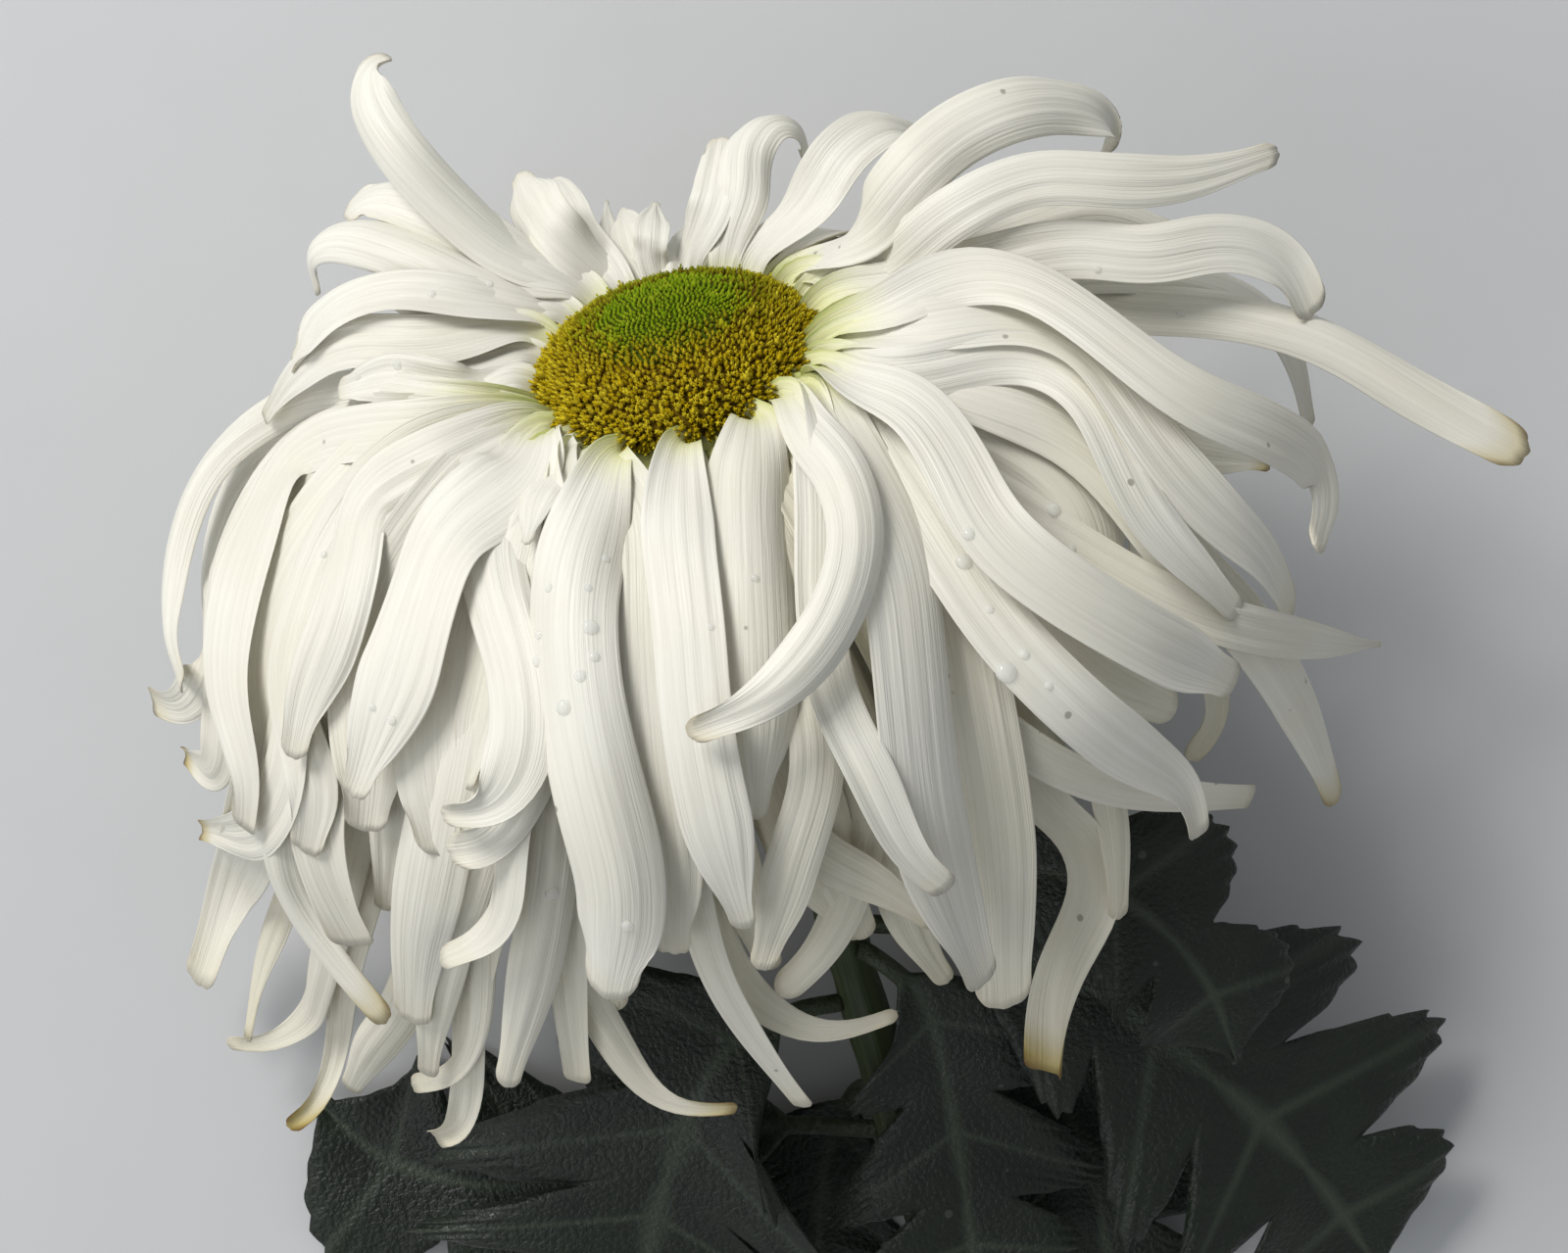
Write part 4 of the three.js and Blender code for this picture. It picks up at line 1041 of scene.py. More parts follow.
@dataclass
class Disc:
    """The domed disc: open florets round the closed green buds, set by the golden angle."""

    head: Head
    floret_area: float = 0.44 * MM**2
    around: int = 10
    bud_sides: int = 7
    tube_radius: float = 0.17 * MM
    lobe_reach: float = 0.4 * MM
    floret_height: float = 1.15 * MM
    bud_radius: float = 0.35 * MM
    foot_rise: float = -1.5 * MM
    sunk: float = 0.7 * MM
    bud_side: float = 0.8 * MM
    bud_shift: float = -3.2 * MM
    green_side: float = 1.4 * MM
    green_shift: float = -5.0 * MM
    lean_most: float = 0.6
    green_inner: float = 8 * MM
    green_outer: float = 17 * MM
    bud_blur: float = 4.5 * MM
    bud_scale: float = 1.35
    least_size: float = 0.58
    small_reach: float = 8 * MM
    full_reach: float = 22 * MM

    def rise(self, radius: Array) -> Array:
        """The dome's rise: its height times (1 - (radius / rim)^2)^0.7."""
        share = np.clip(1 - (radius / self.head.disc_radius) ** 2, 0, 1)
        return self.head.dome_rise * share**0.7

    def profile(self, dense: int = 900) -> Array:
        """The dome's side from its middle to its rim and down to its foot.

        Args:
            dense: points over the dome.

        Returns:
            Radius and rise, one pair a row.
        """
        radius = self.head.disc_radius * np.sin(np.linspace(0, math.pi / 2, dense))
        dome = np.stack([radius, self.rise(radius)], axis=1)
        foot = np.array([[self.head.disc_radius - 0.5 * MM, self.foot_rise]])
        return np.vstack([dome, lerp(dome[-1:], foot, np.linspace(0, 1, 40)[1:, None])])

    def seats(self) -> tuple[Array, Array, Array, Array]:
        """Where the florets stand: each takes the same area of the dome, a golden angle on.

        Returns:
            Their places and the dome's normals there, both in the head's frame, their distances
            from the green middle, and their own numbers.
        """
        side = self.profile()
        step = np.linalg.norm(np.diff(side, axis=0), axis=1)
        area = np.concatenate([[0], np.cumsum(math.pi * (side[1:, 0] + side[:-1, 0]) * step)])
        n = np.arange(int(area[-1] / self.floret_area))
        at = (n + 0.5 + 1.5 * (draws(n + 0.2) - 0.5)) * self.floret_area
        radius, rise = np.interp(at, area, side[:, 0]), np.interp(at, area, side[:, 1])
        slope = np.gradient(side, axis=0)
        fall = np.unwrap(np.arctan2(-slope[:, 1], slope[:, 0]))
        tilt = np.interp(at, area, np.minimum(fall, 1.75))
        bearing = np.radians(n * GOLDEN_ANGLE) + (draws(n + 0.4) - 0.5) * 0.05
        radial = np.stack([np.sin(bearing), np.cos(bearing), 0 * bearing], 1)
        normal = np.sin(tilt)[:, None] * radial + np.cos(tilt)[:, None] * UP
        place = radial * radius[:, None] + rise[:, None] * UP - self.sunk * normal
        reach = np.hypot((place[:, 0] - self.bud_side) / 1.1, (place[:, 1] - self.bud_shift) * 1.05)
        return place, normal, reach, n

    def ripeness(self, x: Array, y: Array) -> Array:
        """How ripe the disc is at a place: 0 in the green patch at its back and 1 away from it."""
        away = np.hypot(x - self.green_side, y - self.green_shift)
        return smoothstep(away, self.green_inner, self.green_outer)

    def standing(self, profile: Array, chosen: Array, scale: Array) -> Surface:
        """Copies of one small turned shape, each standing on the dome along its normal.

        Args:
            profile: radius and height of each ring, for each of the points around it.
            chosen: which seats carry a copy.
            scale: each copy's size.

        Returns:
            All the copies as one surface.
        """
        rings, sides, _ = profile.shape
        base, normal, _, n = (a[chosen] for a in self.seats())
        stray = np.stack([draws(n + 0.6), draws(n + 0.8), draws(n + 0.25)], 1) - 0.5
        up = unit(normal + self.lean_most * stray)
        first = unit(np.cross(up, [0.31, 0.83, 0.46]))
        second = np.cross(first, up)
        turn = 2 * math.pi * (np.arange(sides)[None, :] / sides + draws(n + 0.1)[:, None])
        flat = np.cos(turn)[..., None] * first[:, None] + np.sin(turn)[..., None] * second[:, None]
        size = scale[:, None, None, None]
        local = (
            base[:, None, None]
            + size * flat[:, None] * profile[None, :, :, :1]
            + size * up[:, None, None] * profile[None, :, :, 1:]
        )
        one, count = closed_tube_faces(rings, sides)[None], rings * sides
        step = (np.arange(len(n)) * count)[:, None, None]
        quads = np.where(one < 0, -1, one + step).reshape(-1, 4)
        levels = np.broadcast_to(np.linspace(0, 1, rings)[None, :, None], local.shape[:3]).ravel()
        blur = 3 * MM * (draws(np.stack([n + 0.3, n + 0.45])) - 0.5)
        ripe = np.repeat(self.ripeness(base[:, 0] + blur[0], base[:, 1] + blur[1]), count)
        values = {"level": levels, "ripe": ripe, "tone": np.repeat(draws(n + 0.7), count)}
        return Surface(self.head.placed(local.reshape(-1, 3)), quads, np.stack([levels, ripe], 1), values)

    def floret_profile(self) -> Array:
        """An open floret: a tube that flares into five pointed lobes, with its style standing out.

        Returns:
            For each ring, the radius and height of each point around it.
        """
        tube, lobe, tall = self.tube_radius, self.lobe_reach, self.floret_height
        rings = [
            ((tube, -0.3 * MM), (tube, -0.3 * MM)),
            ((lobe, 1.1 * tall), (0.22 * MM, 0.76 * tall)),
            ((0.08 * MM, 0.72 * tall), (0.08 * MM, 0.72 * tall)),
            ((0.14 * MM, 1.32 * tall), (0.06 * MM, 1.2 * tall)),
        ]
        return np.tile(np.array(rings), (1, self.around // 2, 1))

    def bud_profile(self) -> Array:
        """A closed bud: a blunt egg, whose radius follows a quarter sine of its height.

        Returns:
            The same as for an open floret.
        """
        share = np.linspace(0, 1, 5)
        radius = self.bud_radius * np.cos(share * math.pi / 2 * 0.88)
        ring = np.stack([radius, (0.7 * share - 0.1) * MM], 1)[:, None]
        return np.tile(ring, (1, self.bud_sides, 1))

    def floor(self, inner: float, outer: float, rings: int = 14) -> Surface:
        """The dome under the florets, closed underneath, from one radius out to another.

        Args:
            inner: its inner radius, 0 for the whole middle.
            outer: its outer radius.
            rings: rings of points over it.

        Returns:
            The surface.
        """
        inner = max(inner, 0.15 * MM)
        radius = np.linspace(outer, inner, rings)
        dome = np.stack([radius, self.rise(radius) - self.sunk - 0.1 * MM], axis=1)
        foot = [(inner, self.foot_rise), (outer - 0.6 * MM, self.foot_rise)]
        # level 0 gives this floor the florets' foot colour, painted shade between them.
        surface = self.head.lathe(np.vstack([foot, dome]), 90, level=0, tone=0.3)
        local = surface.points - self.head.centre
        ripe = self.ripeness(local @ self.head.side, local @ self.head.front)
        surface.values["ripe"] = ripe
        surface.uv = np.stack([ripe, ripe], axis=1)
        return surface

    def build(self, yellow: bpy.types.Material, green: bpy.types.Material) -> None:
        """Builds the open florets and the buds.

        Args:
            yellow: the open florets' finish.
            green: the buds' finish.
        """
        _, _, reach, n = self.seats()
        is_bud = reach < self.head.bud_radius + self.bud_blur * (draws(n + 0.5) - 0.5)
        small = lerp(self.least_size, 1.0, smoothstep(reach, self.small_reach, self.full_reach))
        size = small * (lerp(0.85, 1.15, draws(n + 0.9)) + 0.8 * draws(n + 0.35) ** 24)
        edge = self.head.bud_radius - 0.3 * MM
        opened = self.standing(self.floret_profile(), ~is_bud, size[~is_bud])
        closed = self.standing(self.bud_profile(), is_bud, size[is_bud] * self.bud_scale)
        rim = Surface.joined([opened, self.floor(edge, self.head.disc_radius - self.sunk)])
        middle = Surface.joined([closed, self.floor(0.0, edge)])
        rim.piece("open_florets", yellow, Slot.POLLEN_YELLOW, "disc_florets")
        middle.piece("green_buds", green, Slot.BUD_GREEN, "disc_buds")


@dataclass
class Involucre:
    """The green cup under the rays with three rows of overlapping bracts."""

    head: Head
    bracts_in_row: int = 13
    rows: int = 16
    columns: int = 9
    thickness: float = 0.35 * MM

    def cup(self) -> Surface:
        """The cup: a closed profile turned about the bloom's axis."""
        profile = [
            (0.2, -14.2), (3.3, -14.2), (4.6, -13.9), (6.5, -12.6), (8.8, -11.2),
            (11, -10), (13, -8.7), (14.6, -7.6), (15, -7), (14.9, -6.5), (0.2, -6.5),
        ]  # fmt: skip
        return self.head.lathe(MM * np.array(profile), 60, share=0, across=0, cut=0, tone=0)

    def bract(self, turn: float, base: Pixel, middle: Pixel, tip: Pixel, width: float, n: int) -> Surface:
        """One bract: a pointed oval scale with a thin papery margin, hugging the cup.

        Its half width follows the root of a sine that ends in a point, and its edges bend in round
        the cup by s^2.

        Args:
            turn: its bearing in degrees.
            base: radius and rise of its foot, in millimetres.
            middle: the same for its widest place.
            tip: the same for its tip.
            width: its full width.
            n: its number.

        Returns:
            The surface.
        """
        knots = MM * np.array([base, middle, tip], float)
        line = smooth_line(self.head.at(knots[:, 0], turn, knots[:, 1]), self.rows)
        along = tangents(line)
        out = squared(unit(line - self.head.centre + 4 * MM * self.head.axis), along)
        v = np.linspace(0, 1, self.rows)[:, None]
        s = np.linspace(-1, 1, self.columns)[None, :]
        half = 0.5 * width * np.maximum(0.06, np.sin(math.pi * lerp(0.22, 1.0, v)) ** 0.6)
        height = -0.25 * half * s**2 + 0.25 * MM * (1 - np.abs(s)) ** 2 + 0.5 * MM * v**2
        skin = 0.5 * self.thickness * lerp(1, 0.3, s**2)
        grid = carried(line, (np.cross(along, out), half * s), (out, height))
        return Surface.strap(grid, out, skin, v, s, 0.0, cut=0, tone=draw(n + 0.5))

    def build(self, material: bpy.types.Material) -> None:
        """Builds the cup and its bracts as one piece.

        Args:
            material: the green finish.
        """
        rows = (
            ((6.0, -12.9), (10.4, -11.2), (14.2, -9.0), 5.2),
            ((8.4, -11.5), (12.6, -9.9), (16.0, -7.7), 5.6),
            ((11.5, -9.8), (14.9, -8.3), (17.2, -6.4), 5.8),
        )
        parts = [self.cup()]
        for row, (base, middle, tip, width) in enumerate(rows):
            for k in range(self.bracts_in_row):
                n = row * self.bracts_in_row + k
                turn = 360 / self.bracts_in_row * (k + row / 2 + 0.2 * (draw(n + 0.1) - 0.5))
                parts.append(self.bract(turn, base, middle, tip, width * MM, n))
        Surface.joined(parts).piece("bract_cup", material, Slot.STEM_GREEN, "involucre")


@dataclass
class Stem:
    """The ribbed stem: a circular bow that leaves the head along its axis and ends on the table."""

    head: Head
    rings: int = 110
    around: int = 64
    ribs: int = 9
    rib_depth: float = 0.16 * MM
    cut_rings: int = 10
    leaf_shares: tuple[float, ...] = (0.5, 0.53, 0.43, 0.37, 0.62, 0.58, 0.45)

    def place(self, share: Array) -> Array:
        """The middle line at shares of its turn: a circle whose slope falls to nothing at its end.

        Args:
            share: 0 at the head and 1 at the cut end.

        Returns:
            Points, one a row.
        """
        lean = self.head.lean
        top = self.head.centre - self.head.stem_start * self.head.axis
        bow = (top[2] - self.head.stem_radius) / (1 - math.cos(lean))
        turn = lean * (1 - np.asarray(share, float))
        y = top[1] - bow * (math.sin(lean) - np.sin(turn))
        z = self.head.stem_radius + bow * (1 - np.cos(turn))
        return np.stack([np.full(np.shape(turn), top[0]), y, z], axis=-1)

    def line(self, count: int) -> Array:
        """Points at even shares of the middle line."""
        return self.place(np.linspace(0, 1, count))

    def build(self, material: bpy.types.Material) -> None:
        """Builds the stem with its cut face.

        The radius at an angle is the stem's own, less a raised cosine for the grooves, and a little
        more where a leaf's stalk joins. The cut face is more rings that close on a small pith.

        Args:
            material: the green finish.
        """
        share = np.linspace(0, 1, self.rings)
        line = self.place(share)
        normal = np.cross(np.broadcast_to(self.head.side, line.shape), tangents(line))
        angle = 2 * math.pi * np.arange(self.around) / self.around
        groove = 0.5 - 0.5 * np.cos(self.ribs * angle + 0.7 * np.sin(3 * angle))
        swelling = sum(0.35 * MM * np.exp(-(((share - leaf) / 0.022) ** 2)) for leaf in self.leaf_shares)
        body = self.head.stem_radius + 0.04 * MM * np.sin(37 * share) + swelling
        radius = body[:, None] - self.rib_depth * groove[None, :]
        end = np.linspace(0.94, 0.03, self.cut_rings)
        radius = np.vstack([radius, end[:, None] * radius[-1:]])
        row = np.minimum(np.arange(len(radius)), self.rings - 1)
        side = np.broadcast_to(self.head.side, (len(radius), 3))
        points = carried(line[row], (side, radius * np.cos(angle)), (normal[row], radius * np.sin(angle)))
        points[..., 2] = np.maximum(points[..., 2], 0.0)
        points[..., 1] += 0.4 * MM * np.concatenate([0 * share, (1 - end) ** 2])[:, None]
        cut = np.concatenate([0 * share, np.clip(1.2 - end, 0, 1)])
        reach = np.tile(angle / math.pi - 1, len(radius))
        values = {
            "share": np.repeat(share[row], self.around),
            "across": reach,
            "cut": np.repeat(cut, self.around),
            "tone": np.full(reach.size, 0.5),
        }
        uv = np.stack([0.5 + 0.5 * reach, values["share"]], axis=1)
        faces = closed_tube_faces(len(radius), self.around)[:, ::-1]
        stem = Surface(points.reshape(-1, 3), faces, uv, values)
        stem.piece("ribbed_stem", material, Slot.STEM_GREEN, "stem")


@dataclass(frozen=True)
class LeafPlan:
    """One leaf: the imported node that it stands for, its place on the stem, and its run.

    path lists the columns and rows of the midrib's pixels, level their heights above the table in
    millimetres, width is the blade's full width in millimetres, and lobes the pairs of lobes.
    """

    node: str
    share: float
    path: tuple[float, ...]
    level: tuple[float, ...]
    width: float
    lobes: int


# fmt: off
LEAVES = (
    LeafPlan("leaf_centre", 0.5, (805, 1035, 735, 1080, 690, 1175, 660, 1279, 640, 1380), (22, 24, 22, 16,
        10), 74, 4),
    LeafPlan("leaf_middle", 0.53, (990, 1050, 1066, 1102, 1112, 1190, 1130, 1290, 1138, 1380), (13, 10, 8,
        6, 5), 46, 3),
    LeafPlan("leaf_right", 0.43, (960, 950, 1110, 1010, 1250, 1110, 1340, 1200, 1410, 1300), (24, 26, 23,
        17, 9), 62, 4),
    LeafPlan("leaf_upper_right", 0.37, (960, 885, 1080, 893, 1170, 935, 1232, 1005, 1262, 1085), (31, 36,
        38, 36, 30), 34, 3),
    LeafPlan("leaf_left", 0.62, (780, 1150, 640, 1190, 500, 1210, 390, 1180, 320, 1120), (8, 5, 4, 3.5, 4),
        50, 3),
    LeafPlan("leaf_under", 0.58, (876, 1112, 850, 1162, 838, 1220, 836, 1290, 842, 1350), (8.5, 4, 1.8, 1,
        1), 44, 3),
    LeafPlan("leaf_front", 0.45, (890, 975, 940, 1020, 968, 1120, 985, 1220, 1000, 1340), (25, 24, 20, 17,
        14), 44, 3),
)
# fmt: on


@dataclass
class Leaves:
    """The stalked leaves: pointed ovals cut deeply into lobes, with small forward teeth."""

    head: Head
    view: PhotoView
    rows: int = 210
    columns: int = 29
    thickness: float = 0.4 * MM
    petiole_width: float = 2.6 * MM
    petiole_share: float = 0.16
    petiole_seat: float = 1.0 * MM
    lobe_cut: float = 0.34
    teeth: int = 26
    tooth_depth: float = 0.075
    slant: float = 28.0
    lowest: float = 0.2 * MM

    def reach(self, run: Array, lobes: int) -> Array:
        """The share of the half width along the blade: an oval, lobes and forward teeth.

        Args:
            run: shares of the whole leaf's length.
            lobes: pairs of lobes.

        Returns:
            Shares of the half width.
        """
        blade = (run - self.petiole_share) / (1 - self.petiole_share)
        oval = np.sin(math.pi * np.clip(0.93 * blade + 0.07, 0, 1)) ** 0.7
        lobe = np.abs(np.sin(math.pi * (lobes * blade + 0.1))) ** 0.8
        saw = (self.teeth * blade) % 1.0
        tooth = 0.97 + self.tooth_depth * np.where(saw < 0.7, saw / 0.7, (1 - saw) / 0.3)
        return oval * lerp(self.lobe_cut, 1, lobe) * tooth

    def veins(self, blade: Array, s: Array, half: Array, lobes: int) -> Array:
        """How much of a vein is at each place: the midrib and one side vein for each lobe.

        Args:
            blade: shares of the blade's length.
            s: shares of the half width, -1 to 1.
            half: half widths in metres.
            lobes: pairs of lobes.

        Returns:
            Values from 0 to 1.
        """
        midrib = np.exp(-((s * half / (0.9 * MM * (1.2 - blade))) ** 2))
        phase = lobes * blade + 0.1
        off = (phase - np.floor(phase) - 0.5) / lobes
        side = np.exp(-((off / 0.011) ** 2)) * (1 - 0.6 * np.abs(s))
        return np.clip(midrib + 0.8 * side, 0, 1)

    def blade(self, leaf: LeafPlan) -> Surface:
        """A leaf's closed surface, from its stalk's foot on the stem to its tip.

        Stations follow the midrib, and each side runs out slanted forwards. Its height is a slow
        wave along the edge, a puff between the side veins, a drop at the margin and the veins'
        grooves.

        Args:
            leaf: the leaf's plan.

        Returns:
            The surface.
        """
        stalk = Stem(self.head).place(leaf.share)
        pixels = np.reshape(leaf.path, (-1, 2)).astype(float)
        seen = self.view.seen_at(pixels, MM * np.array(leaf.level))
        foot = stalk + unit(seen[0] - stalk) * (self.head.stem_radius + self.petiole_seat - 0.9 * MM)
        line = smooth_line(np.vstack([foot, seen]), self.rows)
        along = tangents(line)
        up = np.broadcast_to(UP, line.shape)
        run = np.linspace(0, 1, self.rows)[:, None]
        s = np.sin(np.linspace(-0.5, 0.5, self.columns) * math.pi * 0.8)[None, :]
        s = s / s.max()
        blade = np.clip((run - self.petiole_share) / (1 - self.petiole_share), 0, 1)
        is_blade = smoothstep(run, self.petiole_share - 0.015, self.petiole_share + 0.02)
        wide = np.maximum(0.6 * MM, self.reach(run, leaf.lobes) * leaf.width * MM / 2)
        half = lerp(self.petiole_width / 2, wide, is_blade)
        slant = np.radians(self.slant) * np.minimum(1, 2.2 * (1 - run)) * is_blade
        bend = np.abs(s) * half
        vein = self.veins(blade, s, half, leaf.lobes)
        wave = 0.1 * bend * np.sin(9 * run + np.sign(s)) + 0.06 * bend
        puff = 0.5 * MM * np.sin(2 * math.pi * (leaf.lobes * blade + 0.35)) * np.abs(s)
        ripple = 0.35 * MM * np.sin(41 * run + 2 * s) * s**2
        height = is_blade * (wave + puff + ripple - 0.1 * half * s**6 - 0.35 * MM * vein)
        stalk_skin = 0.4 * self.petiole_width * np.sqrt(np.clip(1 - s**2, 0.02, 1))
        skin = lerp(stalk_skin, 0.5 * self.thickness * lerp(1, 0.35, s**4) + 0.25 * MM * vein, is_blade)
        middle = carried(
            line,
            (unit(np.cross(along, UP)), half * s * np.cos(slant)),
            (along, bend * np.sin(slant)),
            (up, height),
        )
        return Surface.strap(
            middle, up, skin, run, s, self.lowest, vein=vein * is_blade, stalk=1 - is_blade
        )

    def build(self, material: bpy.types.Material) -> None:
        """Builds every leaf as its own piece.

        Args:
            material: the leaves' finish.
        """
        for leaf in LEAVES:
            name = leaf.node.replace("leaf", "veined_leaf")
            self.blade(leaf).piece(name, material, Slot.LEAF_GREEN, leaf.node)


# Each bead's column and row, and its radius in millimetres.
# fmt: off
BEADS = (
    1026, 686, 1.25, 983, 573, 1.0, 988, 545, 0.8, 1075, 520, 0.85, 1094, 560, 0.5, 1010, 622, 0.5,
    1045, 668, 0.6, 1070, 700, 0.5, 575, 722, 0.95, 548, 675, 0.75, 602, 640, 0.95, 550, 648, 0.6,
    606, 670, 0.65, 592, 690, 0.75, 560, 600, 0.6, 600, 600, 0.5, 618, 570, 0.5, 563, 912, 0.85,
    640, 945, 0.7, 770, 590, 0.5, 725, 640, 0.45, 400, 735, 0.6, 380, 722, 0.45, 330, 566, 0.5,
    440, 300, 0.6, 500, 290, 0.45, 405, 372, 0.7, 365, 385, 0.5, 1120, 275, 0.5, 1205, 320, 0.55,
)
# fmt: on


@dataclass
class WaterDrops:
    """Beads of water on the rays, each where the view through its pixel meets a ray."""

    view: PhotoView
    rings: int = 7
    around: int = 16
    tall: float = 0.72
    sunk: float = 0.25

    def bead(self, place: Array, out: Array, radius: float) -> Surface:
        """One bead: an ellipsoid's cap, radius r cos(a) and height tall r sin(a), closed below.

        Args:
            place: where it sits.
            out: the unit vector that it stands along.
            radius: its radius.

        Returns:
            The surface.
        """
        angle = np.linspace(-self.sunk, 0.5 * math.pi * 0.97, self.rings)
        turn = 2 * math.pi * np.arange(self.around) / self.around
        first = unit(np.cross(out, [0.3, 0.9, 0.1]))
        flat = np.cos(turn)[:, None] * first + np.sin(turn)[:, None] * np.cross(out, first)
        rise = self.tall * np.sin(angle)[:, None, None] * out
        points = (place + radius * (np.cos(angle)[:, None, None] * flat + rise)).reshape(-1, 3)
        return Surface(points, closed_tube_faces(self.rings, self.around), np.zeros((len(points), 2)))

    def build(self, on: list[bpy.types.Object], material: bpy.types.Material) -> None:
        """Builds the beads as one piece, on whichever of the pieces lies nearest the camera.

        Args:
            on: the pieces that may carry a bead.
            material: the water.
        """
        trees = []
        for piece in on:
            points = np.empty(len(piece.data.vertices) * 3, np.float32)
            piece.data.vertices.foreach_get("co", points)
            faces = [tuple(face.vertices) for face in piece.data.polygons]
            trees.append(BVHTree.FromPolygons(points.reshape(-1, 3).tolist(), faces))
        parts = []
        heights = np.array([self.view.head.disc_height + self.view.eye_above_disc - 1 * MM, 0.0])
        for *pixel, radius in np.reshape(BEADS, (-1, 3)):
            eye, ground = self.view.seen_at(np.array([pixel, pixel]), heights)
            looks = unit(ground - eye)
            hits = [tree.ray_cast(Vector(eye), Vector(looks)) for tree in trees]
            found = [hit for hit in hits if hit[0] is not None]
            if not found:
                continue
            place, normal, _, _ = min(found, key=lambda hit: hit[3])
            out = np.array(normal) * (-1.0 if np.dot(normal, looks) > 0 else 1.0)
            parts.append(self.bead(np.array(place), out, radius * MM))
        Surface.joined(parts).piece("water_drops", material, None)


@dataclass
class Nodes:
    """Short ways to add nodes to one tree and wire them."""

    tree: bpy.types.NodeTree

    def add(self, kind: str, *feeds: Feed, **settings: object) -> bpy.types.Node:
        """A new node with its settings.

        Args:
            kind: the node's type after ShaderNode.
            feeds: what its first inputs take, in their order.
            settings: the node's own properties.

        Returns:
            The node.
        """
        node = self.tree.nodes.new("ShaderNode" + kind)
        for key, value in settings.items():
            setattr(node, key, value)
        for socket, feed in zip(node.inputs, feeds):
            self.put(socket, feed)
        return node

    def put(self, socket: Socket, feed: Feed) -> None:
        """Wires a socket, or sets its own value.

        Args:
            socket: the socket.
            feed: another socket, a number or a colour.
        """
        if isinstance(feed, bpy.types.NodeSocket):
            self.tree.links.new(feed, socket)
        elif isinstance(feed, tuple) and len(socket.default_value) == 4:
            socket.default_value = (*feed, 1.0)
        else:
            socket.default_value = feed

    def value(self, name: str) -> Socket:
        """A value that the mesh carries on its points."""
        return self.add("Attribute", attribute_name=name, attribute_type="GEOMETRY").outputs["Fac"]

    def math(self, operation: str, *feeds: Feed, clamp: bool = False) -> Socket:
        """The result of one sum, which Blender calls by the operation's name."""
        return self.add("Math", *feeds, operation=operation, use_clamp=clamp).outputs[0]

    def times(self, a: Feed, b: Feed, clamp: bool = False) -> Socket:
        """The product of two values."""
        return self.math("MULTIPLY", a, b, clamp=clamp)

    def step(self, x: Feed, low: float, high: float, to_low: float = 0.0, to_high: float = 1.0) -> Socket:
        """A smooth step of x from to_low at low to to_high at high."""
        ends = (x, low, high, to_low, to_high)
        return self.add("MapRange", *ends, interpolation_type="SMOOTHSTEP").outputs[0]

    def mix(self, a: Feed, b: Feed, share: Feed) -> Socket:
        """The colour a share of the way from a to b."""
        node = self.add("Mix", share, data_type="RGBA")
        for number, feed in ((6, a), (7, b)):
            self.put(node.inputs[number], feed)
        return node.outputs[2]

    def named(self, node: bpy.types.Node, **feeds: Feed) -> bpy.types.Node:
        """The node with its inputs of these names fed."""
        for name, feed in feeds.items():
            self.put(node.inputs[name.replace("_", " ").capitalize()], feed)
        return node

    def place(self) -> Socket:
        """Object coordinates, which are the row's frame in metres."""
        return self.add("TexCoord").outputs["Object"]

    def noise(self, vector: Socket, scale: Feed, detail: float = 2.0) -> Socket:
        """Noise from 0 to 1 at a vector."""
        return self.named(self.add("TexNoise"), vector=vector, scale=scale, detail=detail).outputs["Fac"]

    def bump(self, height: Socket, distance: float, strength: float = 0.5) -> Socket:
        """A normal from a height, where 1 stands for a distance in metres."""
        node = self.named(self.add("Bump"), height=height, distance=distance, strength=strength)
        return node.outputs["Normal"]

    def group(self, tree: bpy.types.NodeTree, **feeds: Feed) -> Socket:
        """What a shared effect gives in this tree, with its own values."""
        return self.named(self.add("Group", node_tree=tree), **feeds).outputs[0]


